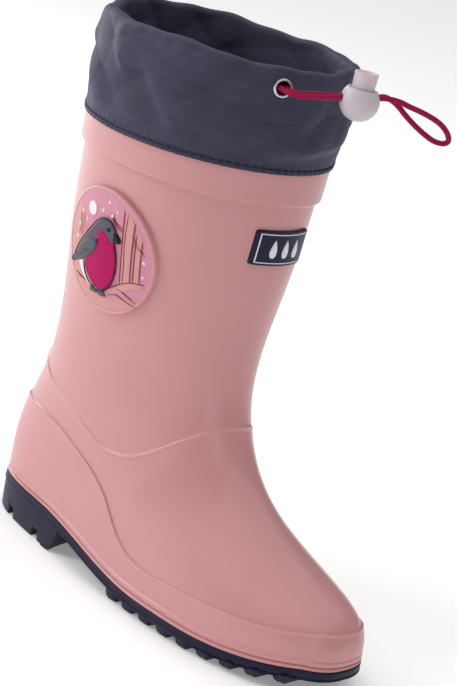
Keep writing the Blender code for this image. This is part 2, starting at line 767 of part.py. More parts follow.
def build_lock(lock):
    """Ball-shaped cord lock: body with a stepped bore, plunger button and compression spring."""
    centre = lock_centre()
    bore = BUTTON_RADIUS + BUTTON_CLEARANCE
    lip_radius = bore + 0.9
    lip_z = math.sqrt(BALL_RADIUS ** 2 - lip_radius ** 2)
    bore_floor = BUTTON_BASE - BUTTON_TRAVEL - 0.4
    angles = np.radians(np.linspace(math.degrees(math.asin(lip_z / BALL_RADIUS)), -90, 11))
    profile = [(BALL_RADIUS * math.cos(a), BALL_RADIUS * math.sin(a)) for a in angles[:-1]]
    profile += [(0, -BALL_RADIUS), (0, SPRING_WELL_FLOOR), (SPRING_WELL_RADIUS, SPRING_WELL_FLOOR)]
    profile += [(SPRING_WELL_RADIUS, bore_floor), (bore, bore_floor)]
    profile += [(bore, lip_z - 0.6), (bore + 0.4, lip_z)]
    body = turned("cord_lock_body", profile, 24, centre)
    cord_low = CORD_ABOVE_BALL - CORD_DIAMETER / 2 - SLOT_CLEARANCE
    cord_high = CORD_ABOVE_BALL + CORD_DIAMETER / 2 + SLOT_CLEARANCE
    boolean(body, cord_slot("body_slot", cord_low - 0.6, cord_high, 15.0), "DIFFERENCE")
    finish(body, CLEAR, 0.2)
    hang(body, lock)

    seat = BUTTON_BASE + 1.1
    well = SPRING_WELL_RADIUS - 0.2
    profile = [
        (0, BUTTON_TOP), (BUTTON_RADIUS - 0.9, BUTTON_TOP), (BUTTON_RADIUS, BUTTON_TOP - 0.9),
        (BUTTON_RADIUS, BUTTON_BASE), (well, BUTTON_BASE), (well, seat), (0, seat),
    ]
    button = turned("cord_lock_button", profile, 24, centre)
    slot = cord_slot("button_slot", cord_low, cord_high + BUTTON_TRAVEL, 15.0)
    boolean(button, slot, "DIFFERENCE")
    finish(button, CLEAR, 0.25)
    hang(button, lock)

    bottom = SPRING_WELL_FLOOR + GAP + SPRING_WIRE
    top = seat - GAP - SPRING_WIRE
    steps = SPRING_TURNS * 10
    coil = []
    for k in range(steps + 1):
        t = 2 * math.pi * SPRING_TURNS * k / steps
        height = bottom + (top - bottom) * k / steps
        coil.append(centre + np.array((SPRING_RADIUS * math.cos(t), SPRING_RADIUS * math.sin(t), height)))
    spring = finish(cord_object("cord_lock_spring", coil, 2 * SPRING_WIRE, centre, 1), STEEL, 0.3, 1.0)
    hang(spring, lock)


# --------------------------------------------------------------------------------------- badge and patch

def skin_plate(columns, rows, place, low, high):
    """Points and faces of a plate on a curved face: a grid of place(i, j, offset) at two offsets."""
    points = [place(i, j, low) for i in range(columns) for j in range(rows)]
    points += [place(i, j, high) for i in range(columns) for j in range(rows)]
    count = columns * rows
    faces = []
    for i in range(columns - 1):
        for j in range(rows - 1):
            a, b = i * rows + j, (i + 1) * rows + j
            faces.append((a, b, b + 1, a + 1))
            faces.append((a + count, a + 1 + count, b + 1 + count, b + count))
    rim = [(i, 0) for i in range(columns)] + [(columns - 1, j) for j in range(1, rows)]
    rim += [(i, rows - 1) for i in range(columns - 2, -1, -1)] + [(0, j) for j in range(rows - 2, 0, -1)]
    for (i, j), (k, m) in zip(rim, rim[1:] + rim[:1]):
        a, b = i * rows + j, k * rows + m
        faces.append((a, a + count, b + count, b))
    return points, faces


def front_plate(half_width, half_height, low, high, corner):
    """Plate on the front of the shaft between two offsets, with its corners cut by corner."""
    ys = np.linspace(-half_width, half_width, max(3, int(half_width) // 2 * 2 + 1))
    shares = np.linspace(-1, 1, 3)

    def place(i, j, offset):
        y = ys[i]
        edge = half_height - max(0.0, abs(ys[i]) - (half_width - corner))
        z = BADGE_Z + shares[j] * edge
        return (front_x(y, z) + offset, y, z)

    return skin_plate(len(ys), 3, place, low, high)


def front_frame(low, high):
    """Thin raised frame near the badge's edge."""
    wide = BADGE_HALF_WIDTH - FRAME_INSET
    tall = BADGE_HALF_HEIGHT - FRAME_INSET
    steps = 14
    points = []
    for offset in (low, high):
        for inset in (0.0, FRAME_WIDTH):
            w, t = wide - inset, tall - inset
            ys = [-w + 2 * w * k / steps for k in range(steps + 1)]
            loop = [(y, -t) for y in ys] + [(w, 0.0)] + [(y, t) for y in reversed(ys)] + [(-w, 0.0)]
            points += [(front_x(y, BADGE_Z + z) + offset, y, BADGE_Z + z) for y, z in loop]
    count = len(points) // 4
    faces = []
    for k in range(count):
        n = (k + 1) % count
        outer_low, inner_low, outer_high, inner_high = (r * count for r in range(4))
        faces.append((outer_low + k, outer_low + n, inner_low + n, inner_low + k))
        faces.append((outer_high + k, inner_high + k, inner_high + n, outer_high + n))
        faces.append((outer_low + k, outer_high + k, outer_high + n, outer_low + n))
        faces.append((inner_low + k, inner_low + n, inner_high + n, inner_high + k))
    return points, faces


def emblem_drop(centre_y, low, high):
    """One raised raindrop of the badge's emblem."""
    points = []
    outline = []
    for k in range(12):
        t = 2 * math.pi * k / 12
        width = DROP_HALF_WIDTH * math.sin(t) * math.sin(t / 2) ** 1.2
        outline.append((centre_y + width, BADGE_Z + DROP_HALF_HEIGHT * math.cos(t)))
    for offset in (low, high):
        points += [(front_x(y, z) + offset, y, z) for y, z in outline]
    faces = [tuple(range(12)), tuple(range(12, 24))]
    faces += [(i, (i + 1) % 12, 12 + (i + 1) % 12, 12 + i) for i in range(12)]
    return points, faces


def build_badge():
    """Moulded badge on the front: base, raised frame and an emblem of three raindrops."""
    top = GAP + BADGE_THICK
    points, faces = front_plate(BADGE_HALF_WIDTH, BADGE_HALF_HEIGHT, GAP, top, 1.2)
    finish(mesh_object("badge_base", points, faces), NAVY, 0.35)
    frame_low = top + GAP
    points, faces = front_frame(frame_low, frame_low + RAISED)
    finish(mesh_object("badge_frame", points, faces), WHITE, 0.4)
    for name, centre_y in (("right", -7.0), ("centre", 0.0), ("left", 7.0)):
        points, faces = emblem_drop(centre_y, frame_low, frame_low + RAISED)
        finish(mesh_object("badge_drop_" + name, points, faces), WHITE, 0.4)


def patch_centre_x():
    back, front, _, _ = section(PATCH_Z)
    return back + (front - back) * PATCH_SHARE


def patch_point(u, v, offset):
    """Point on the calf patch: u towards the toe, v up from its centre, offset outwards."""
    x = patch_centre_x() + u
    z = PATCH_Z + v
    return (x, side_y(x, z) - offset, z)


def build_patch_disc():
    """Round moulded disc that follows the calf, with a raised rim."""
    steps = 32
    top = PATCH_SEAT + PATCH_THICK
    inner = PATCH_RADIUS - PATCH_RIM
    rim_top = top + PATCH_RIM_RAISE
    circles = [
        (PATCH_RADIUS, PATCH_SEAT), (PATCH_RADIUS, top + PATCH_RIM_RAISE / 2), (PATCH_RADIUS - 0.8, rim_top),
        (inner + 0.4, rim_top), (inner, top), (inner * 0.66, top), (inner * 0.33, top), (0, top),
    ]
    under = [(0, PATCH_SEAT), (PATCH_RADIUS * 0.33, PATCH_SEAT), (PATCH_RADIUS * 0.66, PATCH_SEAT)]
    points, rows = [], []
    for radius, offset in circles + under:
        if radius == 0:
            rows.append([len(points)])
            points.append(patch_point(0, 0, offset))
        else:
            rows.append(list(range(len(points), len(points) + steps)))
            for k in range(steps):
                t = 2 * math.pi * k / steps
                points.append(patch_point(radius * math.cos(t), radius * math.sin(t), offset))
    finish(mesh_object("patch_disc", points, row_faces(rows, steps)), ORCHID, 0.4)


def inlay(name, spans, colour):
    """Flat inlay on the patch from spans (u, lowest v, highest v), ordered along u."""
    base = PATCH_SEAT + PATCH_THICK + GAP
    us = np.linspace(spans[0][0], spans[-1][0], max(4, int((spans[-1][0] - spans[0][0]) / 2.6) + 1))
    lows = np.interp(us, [s[0] for s in spans], [s[1] for s in spans])
    highs = np.interp(us, [s[0] for s in spans], [s[2] for s in spans])

    def place(i, j, offset):
        return patch_point(us[i], lows[i] + (highs[i] - lows[i]) * j / 2, offset)

    points, faces = skin_plate(len(us), 3, place, base, base + INLAY_THICK)
    return finish(mesh_object(name, points, faces), colour, 0.4)


def dots(name, places, radius, colour):
    """Small round raised dots, eight-sided, each a node numbered from 1."""
    base = PATCH_SEAT + PATCH_THICK + GAP
    for number, (u, v) in enumerate(places, 1):
        ring_uv = [(u + radius * math.cos(t), v + radius * math.sin(t))
                   for t in (2 * math.pi * k / 8 for k in range(8))]
        points = [patch_point(a, b, base) for a, b in ring_uv]
        points += [patch_point(u + (a - u) * 0.7, v + (b - v) * 0.7, base + 0.7) for a, b in ring_uv]
        faces = [tuple(range(8)), tuple(range(8, 16))]
        faces += [(i, (i + 1) % 8, 8 + (i + 1) % 8, 8 + i) for i in range(8)]
        finish(mesh_object(f"{name}_{number}", points, faces), colour, 0.35)


def build_patch():
    """Calf patch: a songbird on a branch in front of two tree trunks, under a moon, with snow."""
    build_patch_disc()
    inlay("patch_moon", ((-12.6, 15.6, 17.4), (-11.6, 14.0, 19.0), (-9.6, 13.2, 19.8),
                         (-7.6, 14.0, 19.0), (-6.6, 15.6, 17.4)), WHITE)
    inlay("patch_bird_back", ((-20.6, -11.0, -9.2), (-17.4, -9.6, -3.6), (-13.0, -6.8, 2.2),
                              (-8.6, -2.6, 7.4), (-5.2, 1.6, 11.4), (-1.8, 4.6, 14.2), (1.8, 5.6, 15.2),
                              (5.2, 5.4, 14.0), (7.6, 6.8, 11.2)), CHARCOAL)
    inlay("patch_bird_breast", ((-11.6, -10.6, -6.4), (-9.5, -14.4, -4.2), (-6.4, -17.2, -0.4),
                                (-2.0, -18.6, 3.4), (2.0, -17.8, 4.6), (5.4, -14.8, 4.4),
                                (8.2, -8.6, -1.0)), MAGENTA)
    inlay("patch_bird_belly", ((-17.6, -11.4, -10.5), (-15.0, -13.8, -9.1), (-13.0, -15.8, -7.8),
                               (-12.1, -16.4, -7.2)), WHITE)
    inlay("patch_bird_beak", ((8.1, 6.8, 9.9), (9.4, 6.9, 8.8), (10.6, 7.2, 7.9)), CHARCOAL)
    inlay("patch_branch", ((-15.4, -18.9, -17.8), (-10.0, -20.0, -18.6), (-3.0, -20.9, -19.0),
                           (5.0, -19.6, -17.4), (12.0, -16.2, -13.8), (18.0, -13.2, -11.4),
                           (21.6, -11.9, -10.9)), BARK)
    inlay("patch_tree_near", ((11.6, -12.6, 20.6), (13.6, -11.6, 20.2), (16.2, -10.4, 18.4)), BARK)
    inlay("patch_tree_far", ((18.6, -9.4, 14.8), (20.0, -8.8, 13.6), (21.4, -8.2, 11.8)), BARK)
    inlay("patch_snow_bank", ((-13.6, -20.6, -20.3), (-9.0, -23.2, -21.4), (0.0, -24.8, -22.2),
                              (9.0, -23.0, -20.6), (14.4, -19.8, -18.0), (17.8, -16.6, -15.4)), ORCHID)
    snow = ((-17.6, 12.4), (-19.4, 6.0), (-13.4, 10.0), (-2.4, 17.8), (3.8, 17.4), (6.6, 20.0),
            (23.0, 2.4), (-20.6, -0.4), (22.9, -4.4), (1.2, 22.6))
    dots("patch_snow", snow, 0.75, WHITE)


# ----------------------------------------------------------------------------------------------- assembly

def clear_scene():
    for obj in list(bpy.data.objects):
        bpy.data.objects.remove(obj)


def main():
    clear_scene()
    build_shell()
    build_lining()
    build_insole()
    build_outsole()
    build_cuff()
    build_eyelet()
    build_channel_cord()
    pivot = empty("swing_pivot", mouth())
    lock = empty("lock_centre", lock_centre(), pivot)
    build_loop(pivot)
    build_lock(lock)
    build_badge()
    build_patch()


main()
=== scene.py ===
"""Looks of a child's moulded rain boot with a gathered nylon cuff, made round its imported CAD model.

Sizes are millimetres and become metres when a mesh is made. +Z is up, the toe points along +X and the
wearer's left is +Y. The boot's upper is one smooth face, face(height, angle), and every skin, line, pad
and fold lies on it or at an offset from it.
"""
import math

import bpy
import numpy as np
from mathutils import Matrix, Vector


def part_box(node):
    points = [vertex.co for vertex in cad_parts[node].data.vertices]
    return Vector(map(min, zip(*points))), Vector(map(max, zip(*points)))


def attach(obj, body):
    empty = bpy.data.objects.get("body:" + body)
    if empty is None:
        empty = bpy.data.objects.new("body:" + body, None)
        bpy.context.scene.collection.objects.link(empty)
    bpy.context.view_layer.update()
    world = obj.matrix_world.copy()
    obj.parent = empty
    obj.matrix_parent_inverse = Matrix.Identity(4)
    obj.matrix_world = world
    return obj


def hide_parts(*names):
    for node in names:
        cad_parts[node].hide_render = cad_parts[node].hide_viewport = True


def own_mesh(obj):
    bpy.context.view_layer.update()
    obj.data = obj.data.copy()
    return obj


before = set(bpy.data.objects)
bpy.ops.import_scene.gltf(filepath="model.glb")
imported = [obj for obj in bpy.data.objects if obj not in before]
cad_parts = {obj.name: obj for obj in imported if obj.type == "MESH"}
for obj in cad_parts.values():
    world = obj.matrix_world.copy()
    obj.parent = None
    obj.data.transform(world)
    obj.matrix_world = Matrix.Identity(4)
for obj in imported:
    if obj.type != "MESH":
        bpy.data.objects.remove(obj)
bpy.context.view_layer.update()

MM = 0.001
TAU = 2 * math.pi


def node_box(name):
    """Lowest and highest corner of a CAD node, in millimetres."""
    low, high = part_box(name)
    return np.array(low) / MM, np.array(high) / MM


SOLE_LOW, SOLE_HIGH = node_box("outsole")
CUFF_LOW, CUFF_HIGH = node_box("cuff_fabric")
BADGE_LOW, BADGE_HIGH = node_box("badge_base")
PATCH_LOW, PATCH_HIGH = node_box("patch_disc")
LOCK_LOW, LOCK_HIGH = node_box("cord_lock_body")

# The upper's plan sections, as in the CAD source
SOLE_PROUD = 1.5
HEEL_BACK_X = SOLE_LOW[0] + SOLE_PROUD
SOLE_LENGTH = SOLE_HIGH[0] - SOLE_LOW[0] - 2 * SOLE_PROUD
BALL_HALF_WIDTH = 46.0
SHAFT_HEIGHT = 205.0
HEEL_HEIGHT = 18.0
BALL_HEIGHT = 7.6
TOE_HEIGHT = 13.3
FEATHER_FADE = 100.0
STATIONS = np.array((
    (0.000, 0.000, 1.000, 0.674, 0.522, 1.000, 0.870, 0.75),
    (0.122, -0.007, 0.962, 0.674, 0.565, 0.957, 0.761, 0.80),
    (0.244, 0.007, 0.754, 0.641, 0.598, 0.761, 0.554, 0.90),
    (0.366, 0.040, 0.622, 0.696, 0.717, 0.739, 0.587, 0.95),
    (0.512, 0.047, 0.570, 0.717, 0.739, 0.739, 0.652, 1.00),
    (0.732, 0.040, 0.570, 0.913, 0.935, 0.935, 0.891, 1.00),
    (1.000, 0.040, 0.574, 1.087, 1.087, 1.087, 1.087, 1.00),
))
SHELL_WALL = 2.5
COLLAR_LOW = 191.5
COLLAR_PROUD = 2.0
SHELL_TOP = 214.0
LINING_TOP = 195.0
LINING_THICK = 0.9
GAP = 0.3

# Moulded lines, as side-view points (x, z)
ANKLE_LINE = ((-25, 86), (3, 74.5), (24.5, 68), (37, 63.7), (48, 61.6), (57, 63), (66, 67.5), (75, 75),
              (84, 83), (92, 89))
COUNTER_LINE = ((-30, 57.5), (11, 57.3), (28, 53), (43, 47.5), (54, 41), (67, 30), (84, 23), (104, 23.3),
                (130, 24.5), (152, 25.5), (174, 29))

# Outsole
PLATE_THICK = 3.8
HEEL_BREAST_X = 28.0
NOTCH_LENGTH, NOTCH_DEPTH, NOTCH_HEIGHT = 4.5, 9.0, 5.0
HEEL_NOTCH_X = (-15.0, 8.0)
LUG_ROWS, LUG_FIRST_X, LUG_PITCH, LUG_LENGTH = 9, 70.0, 11.6, 8.0
TEETH_PITCH = 1.8

# Cuff, eyelet and drawcord
CUFF_HEM = 207.0
CUFF_TOP = CUFF_HIGH[2]
CUFF_INNER_HEM = CUFF_LOW[2]
CLOTH = 0.45
CHANNEL_Z = 243.0
EYELET_ANGLE = math.radians(206)
EYELET_BORE, EYELET_FLANGE = 5.5, 8.6
CORD_DIAMETER, STRAND_SPACING = 2.4, 2.5
MOUTH_OUT = 3.8
CHANNEL_MIDDLE, DRAWN_IN = 0.2, -1.4
BALL_RADIUS = 8.5
LOCK_CENTRE = np.array([*(LOCK_LOW + LOCK_HIGH)[:2] / 2, LOCK_LOW[2] + BALL_RADIUS])
BUNDLE_TURN, BUNDLE_ANGLE, BUNDLE_SLOPE = 6.2, math.radians(80), 0.18
CORD_ABOVE_BALL = 1.9
LOOP_ROUTE = (
    (11.0, 1.9, 1.25, 0.0), (16.0, 0.9, 1.5, 0.9), (21.0, -1.5, 1.9, 2.2), (26.5, -3.9, 2.3, 3.5),
    (32.0, -6.2, 2.5, 4.2), (36.0, -7.9, 2.4, 4.1), (39.2, -9.3, 1.8, 3.0), (41.0, -10.1, 0.9, 1.5),
    (41.6, -10.4, 0.0, 0.0),
)

# Badge and patch
BADGE_Z = (BADGE_LOW[2] + BADGE_HIGH[2]) / 2
BADGE_HALF = (BADGE_HIGH - BADGE_LOW)[1:] / 2
PATCH_X, PATCH_Z = (PATCH_LOW[0] + PATCH_HIGH[0]) / 2, (PATCH_LOW[2] + PATCH_HIGH[2]) / 2
PATCH_RADIUS = (PATCH_HIGH[2] - PATCH_LOW[2]) / 2
PATCH_TOP = 2.25


# ------------------------------------------------------------------------------------- the boot's face

def natural_spline(knots, values, at):
    """Natural cubic spline through rows of values at knots, read at an array of places."""
    knots, values, at = np.asarray(knots, float), np.asarray(values, float), np.asarray(at, float)
    step = np.diff(knots)
    inner = np.arange(1, len(knots) - 1)
    system = np.eye(len(knots))
    system[inner, inner - 1] = step[:-1]
    system[inner, inner] = 2 * (step[:-1] + step[1:])
    system[inner, inner + 1] = step[1:]
    right = np.zeros_like(values)
    right[1:-1] = 6 * np.diff((np.diff(values, axis=0).T / step).T, axis=0)
    bend = np.linalg.solve(system, right)
    i = np.clip(np.searchsorted(knots, at) - 1, 0, len(knots) - 2)
    a = (knots[i + 1] - at) / step[i]
    sixth = step[i] ** 2 / 6
    if values.ndim > 1:
        a, sixth = a[..., None], sixth[..., None]
    b = 1 - a
    return a * values[i] + b * values[i + 1] + sixth * ((a ** 3 - a) * bend[i] + (b ** 3 - b) * bend[i + 1])


def smooth_steps(share):
    """0 to 1 with level ends."""
    share = np.clip(share, 0, 1)
    return share * share * (3 - 2 * share)


def feather(x):
    """Height above the ground of the joint between upper and sole: high heel, low ball, toe spring."""
    share = np.clip((x - HEEL_BACK_X - 3.5) / 200.0, -0.05, 1.05)
    spring = np.clip((share - 0.72) / 0.28, 0, 1) ** 2
    return (HEEL_HEIGHT + (BALL_HEIGHT - HEEL_HEIGHT) * smooth_steps((share - 0.18) / 0.4)
            + (TOE_HEIGHT - BALL_HEIGHT) * spring)


def plan(height):
    """Back x, front x, half widths and fullness of the upper's plan at heights above its joint."""
    row = natural_spline(STATIONS[:, 0], STATIONS[:, 1:], np.clip(height / SHAFT_HEIGHT, 0, 1))
    ends = HEEL_BACK_X + SOLE_LENGTH * row[..., :2]
    return ends[..., 0], ends[..., 1], BALL_HALF_WIDTH * row[..., 2:6], row[..., 6]


def lean(height):
    """How much further the front moves in plan than the wall's thickness, where the instep slopes."""
    low, high = np.maximum(height - 2, 0), np.minimum(height + 2, SHAFT_HEIGHT)
    return np.sqrt(1 + ((plan(high)[1] - plan(low)[1]) / (high - low)) ** 2)


def half_width(share, widths):
    """Half width at a share of the length: a cubic Bernstein blend of heel, waist, ball and toe widths."""
    rest = 1 - share
    blend = np.stack((rest ** 3, 3 * share * rest ** 2, 3 * share ** 2 * rest, share ** 3), -1)
    return (blend * widths).sum(-1)


def face(height, angle, out=0.0):
    """The upper's outer face, moved outwards by out. Round the plan the angle runs from the heel's
    back at 0 by the left side to the toe at half a turn; x follows its cosine between the back and
    front of that height, y a power of its sine times the half width, and z adds the joint's height."""
    height, angle, out = np.broadcast_arrays(*(np.asarray(v, float) for v in (height, angle, out)))
    level = np.minimum(height, SHAFT_HEIGHT)
    back, front, widths, fullness = plan(level)
    share = (1 - np.cos(angle)) / 2
    x = back - out + (front - back + out * (1 + lean(level))) * share
    y = np.sign(np.sin(angle)) * np.abs(np.sin(angle)) ** fullness * (half_width(share, widths) + out)
    return np.stack((x, y, height + feather(x) * np.maximum(0, 1 - height / FEATHER_FADE)), -1)


def outward(grid):
    """Unit normals of a grid whose rows go up and whose columns go round: up crossed with round."""
    normal = np.cross(np.gradient(grid, axis=0), np.roll(grid, -1, 1) - np.roll(grid, 1, 1))
    return normal / np.maximum(np.linalg.norm(normal, axis=-1, keepdims=True), 1e-9)


def side_face(x, z, out):
    """Point on the right side of the calf at x and z, moved outwards along -Y by out."""
    back, front, widths, fullness = plan(z)
    share = np.clip((x - back) / (front - back), 0.001, 0.999)
    y = -(2 * np.sqrt(share * (1 - share))) ** fullness * half_width(share, widths)
    return np.stack(np.broadcast_arrays(x, y - out, z), -1)


def front_face(y, z, out):
    """Point on the front of the shaft at y and z, moved forwards by out. The plan's angle that gives
    that y is found by halving."""
    y, z, out = np.broadcast_arrays(y, z, out)
    low, high = np.full(y.shape, math.radians(110)), np.full(y.shape, math.radians(250))
    for _ in range(24):
        angle = (low + high) / 2
        left = face(z, angle)[..., 1] > y
        low, high = np.where(left, angle, low), np.where(left, high, angle)
    return np.stack((face(z, angle)[..., 0] + out, y, z), -1)


# ------------------------------------------------------------------------------------------ mesh makers

def mesh_piece(name, points, faces, finish, uv=None, sharp=40):
    """Object from points in millimetres and its faces, smooth but for edges sharper than sharp degrees."""
    mesh = bpy.data.meshes.new(name)
    mesh.from_pydata((points * MM).tolist(), [], faces)
    if uv is not None:
        mesh.uv_layers.new(name="UVMap").data.foreach_set("uv", uv.astype(np.float32).ravel())
    mesh.shade_smooth()
    mesh.set_sharp_from_angle(angle=math.radians(sharp))
    mesh.materials.append(finish)
    piece = bpy.data.objects.new(name, mesh)
    bpy.context.scene.collection.objects.link(piece)
    return piece


def loft_parts(grid, ends):
    """Points and faces over a grid whose columns go round. ends is poles, which closes the first and
    last row at their middles, joined, which joins the last row to the first, or open."""
    rows, columns = grid.shape[:2]
    row = np.arange(rows if ends == "joined" else rows - 1)[:, None]
    column = np.arange(columns)[None, :]
    here, above, beside = row * columns, (row + 1) % rows * columns, (column + 1) % columns
    quads = np.stack((here + column, above + column, above + beside, here + beside), -1).reshape(-1, 4)
    points = grid.reshape(-1, 3)
    caps = np.zeros((0, 3), int)
    if ends == "poles":
        points = np.concatenate((points, grid[:1].mean(1), grid[-1:].mean(1)))
        column, beside, last = column[0], beside[0], (rows - 1) * columns
        first_pole = np.full(columns, rows * columns)
        caps = np.concatenate((np.stack((column, beside, first_pole), -1),
                               np.stack((last + beside, last + column, first_pole + 1), -1)))
    if ends != "open" and volume(points, quads) < 0:
        quads, caps = quads[:, ::-1], caps[:, ::-1]
    return points, quads, caps


def volume(points, quads):
    """Six times the volume that the quads enclose, by its sign the way they face."""
    a, b, c, d = (points[quads[:, k]] for k in range(4))
    return (np.cross(a, b) * c).sum() + (np.cross(a, c) * d).sum()


def loft(name, grids, finish, ends="poles", uv=None, keep=None, sharp=40):
    """Piece of one or several lofts, as loft_parts says. uv has one column more than its only grid, and
    keep leaves out the quads where it is False."""
    all_points, all_faces, start = [], [], 0
    for grid in grids if isinstance(grids, list) else [grids]:
        points, quads, caps = loft_parts(grid, ends)
        all_points.append(points)
        kept = quads if keep is None else quads[keep.ravel()]
        all_faces += (kept + start).tolist() + (caps + start).tolist()
        start += len(points)
    corners = None
    if uv is not None:
        corner = np.stack((uv[:-1, :-1], uv[1:, :-1], uv[1:, 1:], uv[:-1, 1:]), 2).reshape(-1, 4, 2)
        corner = corner if keep is None else corner[keep.ravel()]
        corners = np.concatenate((corner.reshape(-1, 2), np.zeros((len(caps) * 3, 2))))
    return mesh_piece(name, np.concatenate(all_points), all_faces, finish, corners, sharp)


def turned(profile, steps, place=(0, 0, 0), turn=np.eye(3)):
    """Grid of a profile (radius, height) turned about its own axis, then turned and moved to place."""
    profile = np.array(profile, float)
    angle = np.linspace(0, TAU, steps, endpoint=False)
    radius, height = profile[:, :1], profile[:, 1:] + 0 * angle
    return np.stack((radius * np.cos(angle), radius * np.sin(angle), height), -1) @ np.array(turn).T + place


def rounded(corners, radius, steps=4):
    """Outline or profile with its inner corners rounded: each corner becomes a short curve between the
    points one radius before and after it."""
    corners = np.array(corners, float)
    before, here, after = corners[:-2], corners[1:-1], corners[2:]
    back, on = before - here, after - here
    size_back, size_on = (np.linalg.norm(v, axis=1, keepdims=True) for v in (back, on))
    reach = np.minimum(radius, 0.45 * np.minimum(size_back, size_on))
    start, end = here + back / size_back * reach, here + on / size_on * reach
    t = np.linspace(0, 1, steps)[None, :, None]
    curve = (1 - t) ** 2 * start[:, None] + 2 * t * (1 - t) * here[:, None] + t ** 2 * end[:, None]
    return np.concatenate((corners[:1], curve.reshape(-1, corners.shape[1]), corners[-1:]))


def carried(path, radius, sides):
    """Grid of a round profile carried along a path. At each point the profile lies square to the path,
    turned by the steepest direction that doesn't turn over along it."""
    tangent = np.gradient(path, axis=0)
    tangent /= np.linalg.norm(tangent, axis=1, keepdims=True)
    up = np.array((0.03, 0.02, 1.0))
    side = np.cross(tangent, up)
    side /= np.linalg.norm(side, axis=1, keepdims=True)
    over = np.cross(side, tangent)
    turn = np.linspace(0, TAU, sides, endpoint=False)[None, :, None]
    radius = np.broadcast_to(radius, len(path))[:, None, None]
    return path[:, None] + radius * (np.cos(turn) * side[:, None] + np.sin(turn) * over[:, None])


def pad(place, u, low, high, base, thick, edge, across=15):
    """Grid of a raised pad on a curved face: along u it reaches from v low to v high, its top is thick
    above base and rounds down to it within edge of the border, and its underside is flat."""
    w = (1 - np.cos(np.linspace(0, math.pi, across))) / 2
    v = low[:, None] + (high - low)[:, None] * w
    low_run, high_run = (np.sqrt(1 + np.gradient(side, u) ** 2)[:, None] for side in (low, high))
    border = np.minimum((v - low[:, None]) / low_run, (high[:, None] - v) / high_run)
    border = np.minimum(border, np.minimum(u - u[0], u[-1] - u)[:, None])
    rise = np.sqrt(1 - (1 - np.clip(border / edge, 0, 1)) ** 2)
    across_u = u[:, None] + 0 * v
    top = place(across_u, v, base + thick * rise)
    under = place(across_u, v, base - 0.15 + 0 * v)[:, -2:0:-1]
    return np.concatenate((top, under), 1)


def stands_for(piece, body, slot, *nodes):
    """The piece rides on a body and replaces CAD nodes; the slot argument is not used."""
    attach(piece, body)
    if nodes:
        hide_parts(*nodes)
    return piece


# -------------------------------------------------------------------------------------------- materials

def colour(text):
    """Linear colour from an sRGB hex value."""
    parts = np.array([int(text[i:i + 2], 16) for i in (1, 3, 5)]) / 255
    linear = np.where(parts <= 0.04045, parts / 12.92, ((parts + 0.055) / 1.055) ** 2.4)
    return (*linear.tolist(), 1.0)


def add(tree, kind, inputs=None, **settings):
    """Add a shader node: settings are its properties, inputs its sockets' values or linked outputs."""
    made = tree.nodes.new("ShaderNode" + kind)
    for name, value in settings.items():
        setattr(made, name, value)
    for key, value in (inputs or {}).items():
        if isinstance(value, bpy.types.NodeSocket):
            tree.links.new(value, made.inputs[key])
        else:
            made.inputs[key].default_value = value
    return made


def material(name, **values):
    """Material with a Principled shader whose plain sockets are set from values, and its tree."""
    made = bpy.data.materials.new(name)
    made.use_nodes = True
    shader = made.node_tree.nodes["Principled BSDF"]
    for key, value in values.items():
        shader.inputs[key.replace("_", " ")].default_value = value
    return made, made.node_tree, shader


def mottled(tree, shader, where, dark, light, per_mm, detail=3.0):
    """Base colour that drifts between two colours over patches of a size given in millimetres."""
    noise = add(tree, "TexNoise", {"Vector": where, "Scale": 1 / (per_mm * MM), "Detail": detail})
    mix = add(tree, "Mix", {0: noise.outputs["Fac"], 6: colour(dark), 7: colour(light)}, data_type="RGBA")
    tree.links.new(mix.outputs[2], shader.inputs["Base Color"])
    return noise


def roughened(tree, shader, source, low, high):
    """Roughness that runs from low to high with a pattern."""
    spread = add(tree, "MapRange", {"Value": source, "To Min": low, "To Max": high})
    tree.links.new(spread.outputs[0], shader.inputs["Roughness"])


def bumped(tree, shader, height, depth_mm, strength=1.0):
    """Surface relief of a depth in millimetres from a height pattern of 0 to 1."""
    bump = add(tree, "Bump", {"Height": height, "Distance": depth_mm * MM, "Strength": strength})
    tree.links.new(bump.outputs["Normal"], shader.inputs["Normal"])


def object_place(tree):
    return add(tree, "TexCoord").outputs["Object"]


def moulded_pvc(name, dark, light, roughness, subsurface=0.0, coat=0.0, specular=0.3):
    """Plasticised PVC, slush or injection moulded in a polished steel mould: an even colour with a faint
    cloudiness, a soft satin gloss and a very shallow ripple that breaks up the reflections."""
    made, tree, shader = material(name, IOR=1.53, Subsurface_Weight=subsurface, Subsurface_Scale=0.004,
                                  Specular_IOR_Level=specular, Coat_Weight=coat, Coat_Roughness=0.12)
    where = object_place(tree)
    cloud = mottled(tree, shader, where, dark, light, 26)
    roughened(tree, shader, cloud.outputs["Fac"], roughness - 0.03, roughness + 0.03)
    ripple = add(tree, "TexNoise", {"Vector": where, "Scale": 1 / (2.5 * MM), "Detail": 2.0})
    bumped(tree, shader, ripple.outputs["Fac"], 0.05, 0.5)
    return made


def sole_rubber():
    """Nitrile-modified PVC sole, injected against a spark-eroded mould: near-black navy, a fine matt
    grain about 0.6 mm wide with dull highlights, and slightly paler rubbed high spots."""
    made, tree, shader = material("sole_rubber", IOR=1.52, Specular_IOR_Level=0.2)
    where = object_place(tree)
    mottled(tree, shader, where, "#14122a", "#1d1a35", 9)
    grain = add(tree, "TexNoise", {"Vector": where, "Scale": 1 / (0.6 * MM), "Detail": 2.0})
    roughened(tree, shader, grain.outputs["Fac"], 0.36, 0.52)
    bumped(tree, shader, grain.outputs["Fac"], 0.06, 0.6)
    return made


